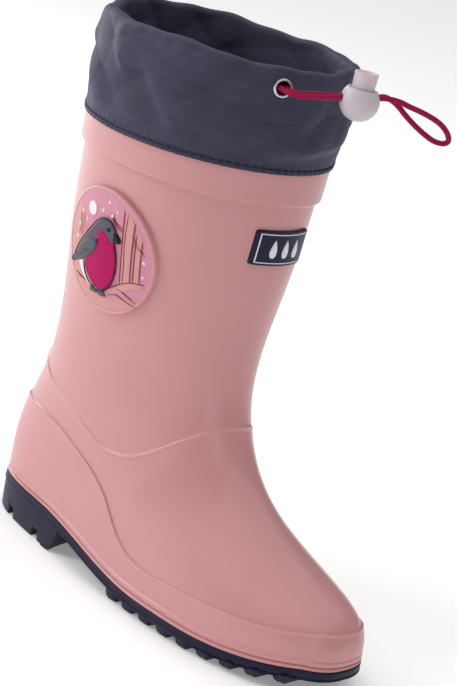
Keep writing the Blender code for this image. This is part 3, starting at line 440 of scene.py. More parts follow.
def woven(tree, uv, thread_mm):
    """Plain weave height: two sets of rounded threads that pass over and under by turns."""
    place = add(tree, "VectorMath", {0: uv, "Scale": 1 / (2 * thread_mm)}, operation="SCALE")
    warp = add(tree, "TexWave", {"Vector": place.outputs[0], "Scale": 1.0, "Distortion": 0.0},
               bands_direction="X", wave_profile="SIN")
    weft = add(tree, "TexWave", {"Vector": place.outputs[0], "Scale": 1.0, "Distortion": 0.0},
               bands_direction="Y", wave_profile="SIN")
    both = {0: warp.outputs["Fac"], 1: weft.outputs["Fac"]}
    return add(tree, "Math", both, operation="MULTIPLY").outputs[0]


def nylon_taffeta():
    """Nylon taffeta, woven from smooth filament and coated inside: dark blue-grey, a fine plain weave
    drawn at 0.9 mm because the real 0.25 mm thread is too fine to show, uneven yarns that streak round
    the cuff, and a soft sheen on every fold."""
    made, tree, shader = material("nylon_taffeta", Sheen_Weight=0.2, Sheen_Roughness=0.4,
                                  Sheen_Tint=colour("#9a98c8"), IOR=1.53, Specular_IOR_Level=0.3)
    uv = add(tree, "UVMap", uv_map="UVMap").outputs["UV"]
    weave = woven(tree, uv, 0.9)
    stretched = add(tree, "Mapping", {"Vector": uv, "Scale": (0.05, 0.9, 1.0)})
    cloud = mottled(tree, shader, stretched.outputs[0], "#252338", "#454259", 1 / MM, 4.0)
    roughened(tree, shader, cloud.outputs["Fac"], 0.48, 0.62)
    bumped(tree, shader, weave, 0.2, 0.9)
    return made


def braided_elastic(name="braided_elastic"):
    """Polyester braid over rubber cores: magenta, with crossing diagonal ribs about 1 mm apart and a dull
    fibrous surface; painted shade darkens the colour to a deep red in the furrows."""
    made, tree, shader = material(name, Sheen_Weight=0.04, Sheen_Roughness=0.4,
                                  Sheen_Tint=colour("#e0457f"), IOR=1.5, Specular_IOR_Level=0.2)
    uv = add(tree, "UVMap", uv_map="UVMap").outputs["UV"]
    ribs = []
    for slant in (1.0, -1.0):
        turn = add(tree, "Mapping", {"Vector": uv, "Rotation": (0, 0, slant * math.radians(52))})
        ribs.append(add(tree, "TexWave", {"Vector": turn.outputs[0], "Scale": 0.35, "Distortion": 0.0},
                        bands_direction="X").outputs["Fac"])
    ridge = add(tree, "Math", {0: ribs[0], 1: ribs[1]}, operation="MAXIMUM").outputs[0]
    # painted shade: the furrows between the ribs take a far darker red than the rib tops
    mix = add(tree, "Mix", {0: ridge, 6: colour("#4a001f"), 7: colour("#aa004a")}, data_type="RGBA")
    tree.links.new(mix.outputs[2], shader.inputs["Base Color"])
    roughened(tree, shader, ridge, 0.75, 0.55)
    bumped(tree, shader, ridge, 0.15, 0.8)
    return made


def milky_polypropylene():
    """Natural polypropylene, injection moulded: milky, lets light through its thin edges, with a waxy
    gloss and faint flow marks."""
    made, tree, shader = material("milky_polypropylene", IOR=1.49, Subsurface_Weight=0.55,
                                  Subsurface_Scale=0.006, Transmission_Weight=0.22)
    flow = mottled(tree, shader, object_place(tree), "#cfc3d0", "#e2dae2", 3.0)
    roughened(tree, shader, flow.outputs["Fac"], 0.30, 0.42)
    bumped(tree, shader, flow.outputs["Fac"], 0.04, 0.4)
    return made


def plated_metal(name, tint, roughness):
    """Nickel-plated brass or bright spring steel: a pale metal with faint drawn lines and soft wear."""
    made, tree, shader = material(name, Metallic=1.0)
    where = object_place(tree)
    wear = mottled(tree, shader, where, tint, "#dcdce0", 0.9)
    roughened(tree, shader, wear.outputs["Fac"], roughness, roughness + 0.14)
    return made


def knitted_lining():
    """Brushed polyester tricot bonded to the shell: charcoal, with upright ribs 1.2 mm apart and a nap."""
    made, tree, shader = material("knitted_lining", Roughness=0.92, Sheen_Weight=0.5,
                                  Sheen_Roughness=0.5, IOR=1.45)
    where = object_place(tree)
    fuzz = mottled(tree, shader, where, "#3b3a48", "#56545f", 1.2, 4.0)
    bumped(tree, shader, fuzz.outputs["Fac"], 0.3, 0.8)
    return made


def insole_foam():
    """EVA foam with a fabric top: dark grey, matt, with a pebbled face of 1.5 mm cells."""
    made, tree, shader = material("eva_foam", Roughness=0.88, IOR=1.45)
    where = object_place(tree)
    cells = add(tree, "TexVoronoi", {"Vector": where, "Scale": 1 / (1.5 * MM)})
    mottled(tree, shader, where, "#33333b", "#45454e", 6)
    bumped(tree, shader, cells.outputs["Distance"], 0.2, 0.6)
    return made


def studio_floor():
    """Opal acrylic table lit softly from below: an even white that keeps only a faint contact shadow."""
    made, tree, shader = material("opal_acrylic_table", Roughness=0.9, Specular_IOR_Level=0.1,
                                  Emission_Color=colour("#ffffff"), Emission_Strength=0.22)
    where = object_place(tree)
    tooth = mottled(tree, shader, where, "#f6f6f6", "#f9f9f9", 30)
    bumped(tree, shader, tooth.outputs["Fac"], 0.02, 0.1)
    return made


PINK = moulded_pvc("pink_pvc", "#c6888a", "#cc8f91", 0.42, 0.05, 0.35, 0.5)
SOLE = sole_rubber()
NYLON = nylon_taffeta()
ELASTIC = braided_elastic()
LOCK_PLASTIC = milky_polypropylene()
NICKEL = plated_metal("nickel_plate", "#b9b9bf", 0.18)
STEEL = plated_metal("spring_steel", "#9c9ca4", 0.25)
KNIT = knitted_lining()
FOAM = insole_foam()
THREAD = moulded_pvc("polyester_thread", "#12121d", "#1c1c2a", 0.6)
BADGE_NAVY = moulded_pvc("navy_soft_pvc", "#121030", "#191739", 0.36, specular=0.2)
BADGE_WHITE = moulded_pvc("white_soft_pvc", "#dcdce6", "#e8e8ef", 0.38)
LILAC = moulded_pvc("lilac_soft_pvc", "#c98398", "#d08ca0", 0.40)
BARK_TAN = moulded_pvc("tan_soft_pvc", "#c98e88", "#d0958f", 0.42)
SNOW_WHITE = moulded_pvc("snow_soft_pvc", "#e3d9de", "#efe6ea", 0.38)
CHARCOAL = moulded_pvc("charcoal_soft_pvc", "#4c4a56", "#585662", 0.42, specular=0.2)
BLACK = moulded_pvc("black_soft_pvc", "#17161b", "#201f25", 0.40, specular=0.2)
MAGENTA = moulded_pvc("magenta_soft_pvc", "#a60050", "#b00459", 0.42, specular=0.1)
LINE_RED = moulded_pvc("wine_soft_pvc", "#7d2444", "#8a2f4f", 0.45, specular=0.2)


# -------------------------------------------------------------------------------- camera, floor, lights

def make_camera():
    """Long lens from the right front, a little above, rolled so that the boot leans in the view."""
    turn, rise, roll = math.radians(38.8), math.radians(16.7), math.radians(14.5)
    back = Vector((math.sin(turn) * math.cos(rise), -math.cos(turn) * math.cos(rise), math.sin(rise)))
    right = Vector((math.cos(turn), math.sin(turn), 0))
    up = back.cross(right)
    side = right * math.cos(roll) + up * math.sin(roll)
    over = up * math.cos(roll) - right * math.sin(roll)
    camera = bpy.data.objects.new("camera", bpy.data.cameras.new("camera"))
    bpy.context.scene.collection.objects.link(camera)
    target = Vector((74, 0, 122)) * MM
    turned_to = Matrix((side, over, back)).transposed().to_4x4()
    camera.matrix_world = Matrix.Translation(target + back * 987 * MM) @ turned_to
    camera.data.lens = 116.9
    camera.data.sensor_width = 36
    camera.data.sensor_fit = "AUTO"
    bpy.context.scene.camera = camera


def area_light(name, place, size, power, target=(60, 0, 120)):
    """Rectangular soft light at a place in millimetres, aimed at a point of the boot."""
    lamp = bpy.data.lights.new(name, "AREA")
    lamp.shape = "RECTANGLE"
    lamp.size, lamp.size_y = size[0] * MM, size[1] * MM
    lamp.energy = power
    light = bpy.data.objects.new(name, lamp)
    bpy.context.scene.collection.objects.link(light)
    light.location = Vector(place) * MM
    light.rotation_mode = "QUATERNION"
    light.rotation_quaternion = (Vector(place) - Vector(target)).to_track_quat("Z", "Y")


def make_studio():
    """White table, an even white surround and large soft boxes."""
    reach = 6000 * MM
    mesh = bpy.data.meshes.new("floor")
    mesh.from_pydata([(-reach, -reach, 0), (reach, -reach, 0), (reach, reach, 0), (-reach, reach, 0)],
                     [], [(0, 1, 2, 3)])
    mesh.materials.append(studio_floor())
    floor = bpy.data.objects.new("floor", mesh)
    bpy.context.scene.collection.objects.link(floor)
    world = bpy.data.worlds.new("studio")
    bpy.context.scene.world = world
    world.use_nodes = True
    ground = world.node_tree.nodes["Background"]
    ground.inputs["Color"].default_value = colour("#ffffff")
    ground.inputs["Strength"].default_value = 0.2
    area_light("key_box", (-1200, -1200, 800), (800, 1400), 17)
    area_light("front_box", (1500, -900, 450), (700, 1300), 3)
    area_light("edge_box", (-1300, 250, 500), (250, 1300), 6.5)
    area_light("top_box", (0, 100, 4000), (8000, 8000), 180)


make_camera()
make_studio()
bpy.context.scene.view_settings.view_transform = "Standard"


# ------------------------------------------------------------------------------- drawcord and cord lock

def eyelet_directions():
    """Level tangent towards the boot's left and outward normal of the cuff at the eyelet."""
    near = face(SHAFT_HEIGHT, EYELET_ANGLE + np.radians((-1, 1)))
    tangent = (near[0] - near[1]) * (1, 1, 0)
    tangent /= np.linalg.norm(tangent)
    return tangent, np.array((tangent[1], -tangent[0], 0.0))


TANGENT, NORMAL = eyelet_directions()
ALONG = NORMAL * math.cos(BUNDLE_ANGLE) + TANGENT * math.sin(BUNDLE_ANGLE)
OUTWARD = np.array((ALONG[1], -ALONG[0], 0.0))
UP = np.array((0.0, 0.0, 1.0))
EYELET_SEAT = face(SHAFT_HEIGHT, EYELET_ANGLE) * (1, 1, 0) + UP * CHANNEL_Z
MOUTH = EYELET_SEAT + NORMAL * MOUTH_OUT


def strand(side):
    """Chosen route of one strand, outer (1) or inner (-1): straight out of the eyelet, round the turn,
    along the bundle through the lock, and half of the free loop that droops past it."""
    half = STRAND_SPACING / 2
    start = MOUTH - TANGENT * half * side
    centre = MOUTH + NORMAL + TANGENT * BUNDLE_TURN
    bend = np.radians((20, 40, 60, 80))[:, None]
    part = 0.35 * side * smooth_steps(bend / bend[-1]) * UP
    turn = centre + (NORMAL * np.sin(bend) - TANGENT * np.cos(bend)) * (BUNDLE_TURN + half * side) - part
    level = LOCK_CENTRE + UP * CORD_ABOVE_BALL
    run = np.array((-22.0, -17.0, -12.0, -7.0, -2.0, 3.0, 7.5))[:, None]
    free = smooth_steps((-9 - run) / 6)
    straight = (level + ALONG * run + OUTWARD * half * side
                + UP * (BUNDLE_SLOPE * run - 0.35 * side * free))
    distance, drop, out, up = np.array(LOOP_ROUTE).T[:, :, None]
    droop = level + ALONG * distance + OUTWARD * out * side + UP * (drop + up * side)
    return np.concatenate((start[None], (start + NORMAL)[None], turn, straight, droop))


def smooth_route(points, spacing):
    """Evenly spaced points on a Catmull-Rom curve through points."""
    ends = np.concatenate((2 * points[:1] - points[1:2], points, 2 * points[-1:] - points[-2:-1]))
    a, b, c, d = (ends[k:len(ends) - 3 + k, None] for k in range(4))
    t = np.linspace(0, 1, 24, endpoint=False)[None, :, None]
    fine = 0.5 * (2 * b + (c - a) * t + (2 * a - 5 * b + 4 * c - d) * t ** 2
                  + (3 * b - a - 3 * c + d) * t ** 3)
    fine = np.concatenate((fine.reshape(-1, 3), points[-1:]))
    reach = np.concatenate(([0], np.cumsum(np.linalg.norm(np.diff(fine, axis=0), axis=1))))
    even = np.linspace(0, reach[-1], int(round(reach[-1] / spacing)) + 1)
    return np.stack([np.interp(even, reach, fine[:, k]) for k in range(3)], 1), reach[-1]


def make_drawcord():
    """Free loop of round elastic: a round profile carried along its route, in through the eyelet."""
    chosen = np.concatenate((strand(1), strand(-1)[-2::-1]))
    path, length = smooth_route(chosen, 0.5)
    sides = 16
    grid = carried(path, CORD_DIAMETER / 2, sides)
    turn = np.linspace(0, math.pi * CORD_DIAMETER, sides + 1)
    run = np.linspace(0, length, len(path))
    uv = np.stack(np.meshgrid(turn, run), -1)
    loop = loft("drawcord_elastic", grid, ELASTIC, uv=uv)
    return stands_for(loop, "drawcord", "elastic_cord", "drawcord_loop"), path, length


def make_channel_cord():
    """Elastic in the cuff's channel: in at the eyelet beside itself, a quarter turn to each side and all
    round the cuff, drawn in behind the eyelet by the room that its turns need."""
    deep, centre = DRAWN_IN, CHANNEL_MIDDLE
    half, turn = STRAND_SPACING / 2, 2.4
    bend = np.radians((15, 45, 75))
    along = np.concatenate(((half, half), half + turn * (1 - np.cos(bend))))
    out = np.concatenate(((MOUTH_OUT - 0.05, deep + turn + 0.4), deep + turn * (1 - np.sin(bend))))
    start = EYELET_SEAT - along[:, None] * TANGENT + out[:, None] * NORMAL
    end = (EYELET_SEAT + along[:, None] * TANGENT + out[:, None] * NORMAL)[::-1]
    away = np.linspace(math.radians(6.5), TAU - math.radians(6.5), 80)
    near = np.exp(-(np.minimum(away, TAU - away) / math.radians(15)) ** 2)
    inset = centre + (deep - centre) * near
    loop = face(SHAFT_HEIGHT, EYELET_ANGLE + away, inset) * (1, 1, 0) + UP * CHANNEL_Z
    path, length = smooth_route(np.concatenate((start, loop, end)), 1.2)
    sides = 12
    uv = np.stack(np.meshgrid(np.linspace(0, math.pi * CORD_DIAMETER, sides + 1),
                              np.linspace(0, length, len(path))), -1)
    cord = loft("drawcord_hidden", carried(path, CORD_DIAMETER / 2, sides), ELASTIC, uv=uv)
    return stands_for(cord, "boot", "elastic_cord", "drawcord_channel")


def slot_cutter(name, low, high):
    """Long bar with round sides along the bundle: the opening that both strands pass through."""
    half = STRAND_SPACING / 2 + CORD_DIAMETER / 2 + 0.3
    tall = (high - low) / 2
    turn = np.linspace(0, TAU, 32, endpoint=False)
    across = np.sign(np.cos(turn)) * np.abs(np.cos(turn)) ** 0.55 * half
    rise = np.sign(np.sin(turn)) * np.abs(np.sin(turn)) ** 0.7 * tall + (high + low) / 2
    run = np.array((-14.0, 14.0))[:, None, None]
    grid = (LOCK_CENTRE + ALONG * run + UP * BUNDLE_SLOPE * run + OUTWARD * across[None, :, None]
            + UP * rise[None, :, None])
    cutter = loft(name, grid, LOCK_PLASTIC)
    return cutter


def cut(piece, cutter, bevel=0.0):
    """Cut a piece, round the new edges if wanted, and make the result its mesh."""
    tool = piece.modifiers.new("slot", "BOOLEAN")
    tool.operation, tool.object = "DIFFERENCE", cutter
    if bevel:
        edge = piece.modifiers.new("edge", "BEVEL")
        edge.width, edge.segments, edge.limit_method = bevel * MM, 2, "ANGLE"
        edge.angle_limit = math.radians(50)
    view = bpy.context.evaluated_depsgraph_get()
    mesh = bpy.data.meshes.new_from_object(piece.evaluated_get(view))
    piece.modifiers.clear()
    piece.data = mesh
    bpy.data.objects.remove(cutter)
    return piece


def make_lock():
    """Ball cord lock: a turned body with a flat mouth and a stepped bore, and a slightly flared plunger
    with a dished top. Both have the slot for the two strands."""
    lip = 5.9
    mouth_z = math.sqrt(BALL_RADIUS ** 2 - (lip + 0.5) ** 2)
    sweep = np.linspace(-math.pi / 2 + 0.05, math.asin(mouth_z / BALL_RADIUS), 26)
    outer = np.stack((BALL_RADIUS * np.cos(sweep), BALL_RADIUS * np.sin(sweep)), 1)
    bore = rounded(((lip + 0.5, mouth_z), (lip - 0.05, mouth_z), (5.4, mouth_z - 0.8), (5.4, -5.3),
                    (3.7, -5.3), (3.7, -6.9), (0.3, -6.9)), 0.3)
    body = loft("cord_lock_ball", turned(np.concatenate((outer, bore[1:])), 72, LOCK_CENTRE), LOCK_PLASTIC)
    body = cut(body, slot_cutter("body_cut", 0.2, 3.5), 0.15)
    stands_for(body, "cord_lock", "lock_plastic", "cord_lock_body")
    top = 12.55
    profile = rounded(((0.3, top - 0.9), (3.4, top - 0.7), (4.2, top), (5.15, top), (4.85, 6.0), (4.95, -2.3),
                       (3.5, -2.3), (3.5, -1.3), (0.3, -1.3)), 0.45)
    button = loft("cord_lock_plunger", turned(profile, 72, LOCK_CENTRE), LOCK_PLASTIC)
    button = cut(button, slot_cutter("plunger_cut", 0.3, 5.9), 0.15)
    stands_for(button, "lock_button", "lock_plastic", "cord_lock_button")
    return body, button


def make_spring():
    """Coil spring under the plunger: round wire carried along a helix of four turns that stands in the
    body's well."""
    wire, low, high, travel = 0.25, -6.6, -1.6, 2.5
    turn = np.linspace(0, 4 * TAU, 97)
    rise = np.linspace(low + wire, high - wire, len(turn))
    helix = LOCK_CENTRE + np.stack((2.8 * np.cos(turn), 2.8 * np.sin(turn), rise), 1)
    coil = loft("cord_lock_coil", carried(helix, wire, 10), STEEL)
    stands_for(coil, "cord_lock", "spring_steel", "cord_lock_spring")
    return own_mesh(coil)


make_channel_cord()
cord, cord_path, cord_length = make_drawcord()
lock_body, lock_button = make_lock()
lock_spring = make_spring()


# ----------------------------------------------------------------------------------------- rubber upper

def line_height(angle, line):
    """Height at which each upright column of the face crosses a line of side-view points."""
    line = np.array(line, float)
    height = np.linspace(4, 110, 213)[:, None]
    points = face(height, angle[None])
    limit = natural_spline(line[:, 0], line[:, 1], np.clip(points[..., 0], line[0, 0], line[-1, 0]))
    over = points[..., 2] - limit
    first = np.maximum(np.argmax(over > 0, axis=0), 1)
    column = np.arange(len(angle))
    below, above = over[first - 1, column], over[first, column]
    return height[first - 1, 0] + (height[1, 0] - height[0, 0]) * -below / (above - below)


def between(low, high, count):
    """Evenly spaced rows strictly between two rows of heights."""
    share = (np.arange(count)[:, None] + 1) / (count + 1)
    return low + (high - low) * share


# Relief of the moulded details: offset along the rows, and how far the surface stands out
RAND = ((0, 0.3), (0.3, 0.95), (0.9, 1.3), (1.5, 1.1), (1.9, 0.45), (2.2, 0.1), (2.5, 0.35), (2.9, 0.85),
        (3.9, 1.0), (4.8, 0.85), (5.3, 0.55), (5.8, 0.42), (6.2, 0.55), (7, 0.6))
COUNTER = ((-2, 0.6), (-1.2, 0.62), (-0.8, 0.72), (-0.45, 0.88), (-0.2, 0.8), (0, 0.5), (0.2, 0.15),
           (0.45, -0.04), (0.8, -0.03), (1.2, 0), (2, 0))
ANKLE = ((-2.4, 0.25), (-1.5, 0.3), (-1, 0.42), (-0.6, 0.62), (-0.25, 0.72), (0, 0.6), (0.25, 0.3),
         (0.6, 0.05), (1, 0), (1.5, 0), (2.4, 0))
COLLAR = ((-1.6, 0), (-1.1, 0), (-0.9, 0.1), (-0.7, 0.4), (-0.5, 0.9), (-0.2, 1.5), (0.1, 1.85), (0.5, 2.0),
          (1, 2.02), (1.6, 2.0))


def make_shell():
    """Upper: rows of points run along the moulded lines, gathering at each, and stand out from the face
    along its normal by the relief of rand, counter, ankle line and collar. Inner wall and floor follow."""
    angle = np.linspace(0, TAU, 400, endpoint=False)
    counter, ankle = line_height(angle, COUNTER_LINE), line_height(angle, ANKLE_LINE)
    flat = np.zeros_like(angle)
    rand, step, seam, collar = (np.array(part, float) for part in (RAND, COUNTER, ANKLE, COLLAR))
    rand_rows = np.linspace(0, 7, 36)
    foxing = between(flat + 7, counter - 2, 8)
    calf = between(counter + 2, ankle - 2.4, 22)
    shaft = between(ankle + 2.4, flat + COLLAR_LOW - 1.6, 54)
    parts = [
        (rand_rows[:, None] + flat, np.interp(rand_rows, rand[:, 0], rand[:, 1])[:, None] + flat),
        (foxing, 0.6 + 0 * foxing),
        (counter + step[:, :1], step[:, 1:] + flat),
        (calf, 0.25 * np.exp((calf - ankle) / 9)),
        (ankle + seam[:, :1], seam[:, 1:] + flat),
        (shaft, 0 * shaft),
        (COLLAR_LOW + collar[:, :1] + flat, collar[:, 1:] + flat),
        (between(flat + COLLAR_LOW + 1.6, flat + SHELL_TOP - 1, 6), COLLAR_PROUD + np.zeros((6, len(angle)))),
    ]
    height = np.concatenate([p[0] for p in parts])
    relief = np.concatenate([p[1] for p in parts])
    base = face(height, angle[None])
    outer = base + outward(base) * relief[..., None]
    rim = [face(SHELL_TOP - drop, angle, out) for drop, out in ((0.6, 1.9), (0.15, 1.5), (0, 0.9), (0, -1.6),
                                                                (0.3, -2.3))]
    inner_heights = np.array((205, 180, 155, 130, 110, 95, 80, 68, 58, 48, 38, 30, 23, 16, 9, 4.0))
    wall = [face(h, angle, -SHELL_WALL) for h in inner_heights]
    floor = cap_rows(face(SHELL_WALL, angle, -SHELL_WALL), SHELL_WALL)
    under = cap_rows(face(0.0, angle, 0.0), 0.0)[::-1]
    grid = np.concatenate((under, outer, rim, wall, floor))
    return stands_for(loft("boot_upper", grid, PINK), "boot", "shell_pvc", "boot_shell")


def cap_rows(ring, rise):
    """Rows that shrink a ring towards its middle along the joint's surface, a rise above it."""
    middle = ring.mean(0)
    share = np.array((1.0, 0.8, 0.5, 0.2))[:, None, None]
    rows = middle + (ring - middle) * share
    rows[..., 2] = feather(rows[..., 0]) + rise
    return rows


def make_lining():
    """Bonded lining: a thin wall between two offsets of the face, open at both ends."""
    angle = np.linspace(0, TAU, 180, endpoint=False)
    heights = np.array((7.1, 12, 18, 25, 33, 42, 52, 63, 75, 90, 110, 130, 150, 170, LINING_TOP))
    out = -SHELL_WALL - GAP
    grid = np.concatenate((face(heights[:, None], angle[None], out),
                           face(heights[::-1, None], angle[None], out - LINING_THICK)))
    return stands_for(loft("knit_lining", grid, KNIT, "joined"), "boot", "lining_knit", "sock_lining")


upper = make_shell()
lining = make_lining()


# ---------------------------------------------------------------------------------------------- outsole

def outline_half(x):
    """Half width of the outsole's outline at x."""
    edge = face(0.0, np.radians(np.arange(0, 181, 1.5)), SOLE_PROUD)
    return np.interp(x, edge[:, 0], edge[:, 1])


def tread_z(x):
    """Height of the forefoot tread: on the ground up to the ball, then rising with the toe."""
    return np.maximum(feather(x) - BALL_HEIGHT, 0) * (x > HEEL_BACK_X + 147.5)


def make_plate():
    """Sole plate: a side profile carried round the outline, with a rounded lower lip that is cut into
    fine teeth round the toe."""
    steps = 1300
    rough_angle = np.linspace(0, TAU, 4001)
    ring = face(0.0, rough_angle)
    reach = np.concatenate(([0], np.cumsum(np.linalg.norm(np.diff(ring, axis=0), axis=1))))
    angle = np.interp(np.linspace(0, reach[-1], steps, endpoint=False), reach, rough_angle)
    run = np.interp(angle, rough_angle, reach)
    profile = np.array(((-3.0, 0.25), (0.2, 0.2), (1.0, 0.1), (1.35, -0.15), (1.5, -0.6), (1.5, -2.8),
                        (1.42, -3.0), (1.7, -3.2), (1.8, -3.6), (1.6, -3.95), (1.0, -4.05), (-2.0, -4.0)))
    out, drop = profile[:, :1] + 0 * angle, profile[:, 1:] + 0 * angle
    x = face(0.0, angle, SOLE_PROUD)[:, 0]
    toe = smooth_steps((x - 122) / 8)
    tooth = (np.cos(TAU * run / TEETH_PITCH) > 0) * toe
    low_lip = (drop < -3.1) & (drop > -4.02)
    out = out - 0.9 * tooth * low_lip
    drop = drop * (1 + 0.1 * toe * (drop < -3.1))
    points = face(0.0 * out, angle[None], out)
    points[..., 2] = feather(points[..., 0]) + drop
    top, bottom = points[:1], points[-1:]
    top_rows = cap_like(top[0], 0.25)[::-1]
    bottom_rows = cap_like(bottom[0], -4.0)
    grid = np.concatenate((top_rows, points, bottom_rows))
    return loft("sole_plate", grid, SOLE)


def cap_like(ring, rise):
    """Rows inside a ring, on the joint's surface moved by rise."""
    return cap_rows(ring, rise)[1:]


def blocks(x_low, x_high, y_low, y_high, slope, inner_slope):
    """Tread blocks as a list of grids: rounded rectangles that narrow from the plate to the ground."""
    turn = np.linspace(0, TAU, 24, endpoint=False)
    across = np.sign(np.cos(turn)) * np.abs(np.cos(turn)) ** 0.16
    along = np.sign(np.sin(turn)) * np.abs(np.sin(turn)) ** 0.16
    grids = []
    for xa, xb, ya, yb in zip(x_low, x_high, y_low, y_high):
        rows = []
        for level, narrow in ((1.0, 0.0), (0.3, 0.8), (0.0, 1.0)):
            chamfer = 0.4 * (level == 0.0)
            left, right = ya + inner_slope * narrow + chamfer, yb - slope * narrow - 3 * chamfer
            start, end = xa + 1.1 * narrow + chamfer, xb - 1.1 * narrow - chamfer
            x = (start + end) / 2 + across * (end - start) / 2
            y = (left + right) / 2 + along * (right - left) / 2
            z = tread_z(x) + (feather(x) - PLATE_THICK + 0.4 - tread_z(x)) * level
            rows.append(np.stack((x, y, z), 1))
        grids.append(np.array(rows))
    return grids


def make_lugs():
    """Forefoot tread: a bevelled block at each side of every row and a bar between rows."""
    x = LUG_FIRST_X + LUG_PITCH * np.arange(LUG_ROWS) - 0.6
    reach = outline_half(x + LUG_LENGTH / 2) + 0.1
    inner = reach * 0.38
    left = blocks(x, x + LUG_LENGTH, inner, reach, 1.1, 0.6)
    right = [grid * (1, -1, 1) for grid in left]
    middle = blocks(x - 2.2, x + LUG_LENGTH - 3.4, -9 + 0 * x, 9 + 0 * x, 0.8, 0.8)
    return loft("forefoot_lugs", left + right + middle, SOLE)


def make_heel():
    """Heel block: the outline behind the breast, drawn in towards the ground, with a hollow sloping
    breast, then cut by two notches at each side and bevelled."""
    share = (1 - np.cos(np.linspace(0, math.pi / 2, 28)))[::-1]
    x = HEEL_BREAST_X - (HEEL_BREAST_X - SOLE_LOW[0] - 0.5) * share
    side = np.stack((x, outline_half(x) - 0.3), 1)
    hollow = np.linspace(1, -1, 13)[1:-1]
    breast = np.stack((HEEL_BREAST_X - 4.5 * (1 - hollow ** 2), hollow * side[-1, 1]), 1)
    outline = np.concatenate((side, breast, side[::-1] * (1, -1)))
    rows = []
    for z, draw in ((HEEL_HEIGHT - PLATE_THICK + 0.8, 0.0), (9.0, 0.3), (0.7, 1.1), (0.0, 1.8)):
        shrink = 1 - draw / 40
        pull = 3.2 * draw / 1.1 * smooth_steps((outline[:, 0] - 15) / 10)
        rows.append(np.stack((outline[:, 0] * shrink - pull, outline[:, 1] * shrink, z + 0 * pull), 1))
    heel = loft("heel_block", np.array(rows), SOLE)
    for number, x_notch in enumerate(HEEL_NOTCH_X):
        for side_sign in (-1, 1):
            reach = float(outline_half(x_notch))
            corners = np.array(((-1.1, -2), (NOTCH_LENGTH + 1.1, -2), (NOTCH_LENGTH - 0.4, NOTCH_HEIGHT),
                                (0.4, NOTCH_HEIGHT)))
            y = np.array((reach - NOTCH_DEPTH, reach + 5))[:, None] * side_sign
            grid = np.stack(np.broadcast_arrays(x_notch + corners[None, :, 0], y, corners[None, :, 1]), -1)
            heel = cut(heel, loft(f"notch_{number}_{side_sign}", grid, SOLE))
    edge = heel.modifiers.new("edge", "BEVEL")
    edge.width, edge.segments, edge.limit_method = 0.35 * MM, 2, "ANGLE"
    edge.angle_limit = math.radians(35)
    return heel


plate, lugs, heel = make_plate(), make_lugs(), make_heel()
stands_for(plate, "boot", "outsole_rubber", "outsole")
for tread in (lugs, heel):
    stands_for(tread, "boot", "outsole_rubber")


# ------------------------------------------------------------------------------------------ nylon cuff

# Folds of the outer layer: angle in degrees, height, slant in degrees, half length, half width, rise
# Creases: turn round the boot, height, slant, half length, width of the steep and of the gentle side, rise
FOLDS = (
    (257, 229, 50, 15, 4.0, 14, 3.0), (283, 238, 48, 10, 3.2, 9, 2.2), (303, 225, 66, 15, 4.0, 12, 2.6),
    (273, 218, 28, 13, 3.2, 8, 1.5), (233, 220, 14, 20, 3.6, 9, 1.3), (239, 242, -16, 12, 3.2, 7, 1.0),
    (178, 219, -9, 24, 3.2, 10, 2.8), (166, 235, 38, 10, 3.0, 8, 1.6), (190, 230, -32, 10, 3.4, 7, 1.2),
    (207, 221, 8, 15, 3.4, 7, 1.0), (322, 236, -42, 12, 3.4, 9, 2.1), (341, 222, 32, 15, 3.6, 11, 2.3),
    (2, 235, 48, 12, 3.4, 9, 2.0), (24, 223, -30, 16, 3.6, 11, 2.2), (48, 234, 40, 14, 3.4, 11, 2.1),
    (74, 221, -18, 18, 3.6, 10, 2.0), (97, 236, -46, 10, 3.2, 9, 2.1), (119, 223, 34, 14, 3.6, 11, 2.1),
    (145, 231, -38, 12, 3.4, 9, 1.9),
)


def fold_relief(angle, height):
    """Cloth relief: each crease is a long ridge with one steep and one gentle side, slanted across the
    cuff. Crossed valleys of rectified waves crumple the cloth between them; a slow wave and short gathers
    near the channel are added. Nothing moves at the hem."""
    turn = np.degrees(angle)
    relief = np.zeros(np.broadcast(angle, height).shape)
    for at, level, slant, long, steep, gentle, rise in FOLDS:
        away = ((turn - at + 180) % 360 - 180) * 0.93
        up = height - level
        c, s = math.cos(math.radians(slant)), math.sin(math.radians(slant))
        run, across = away * c + up * s, up * c - away * s
        wide = np.where(across > 0, gentle, steep)
        relief = relief + rise * np.exp(-(run / long) ** 4 - (across / wide) ** 2)
    slow = 0.5 * np.sin(angle * 5 + 1) + 0.35 * np.sin(angle * 11 + 2 + height / 9)
    free = smooth_steps((height - 209) / 8)
    rising = np.sin(5.5 * angle + height / 7 + 0.9 * np.sin(3 * angle))
    falling = np.sin(4.5 * angle - height / 5.1 + 1.1 * np.sin(2 * angle + 2))
    slanted = np.sin(8 * angle + height / 12.7 + 0.8 * np.sin(height / 9 + 4 * angle))
    crumple = 0.9 * np.abs(rising) ** 0.8 + 0.8 * np.abs(falling) ** 0.8 + 0.6 * np.abs(slanted) ** 0.8
    uneven = 0.5 + 0.5 * np.sin(angle * 3 + 1)
    gather = 0.32 * uneven * np.sin(angle * 34 + 2.6 * np.sin(angle * 4) + height / 5)
    return free * (relief + slow * 0.6 + crumple - 1.2 + gather * np.exp(-((height - 249) / 4) ** 2))


def hem_drop(angle):
    """How much lower the outer hem sits than its highest place, which is at the front's left."""
    return 1.3 * (1 + np.cos(angle - math.radians(300)))


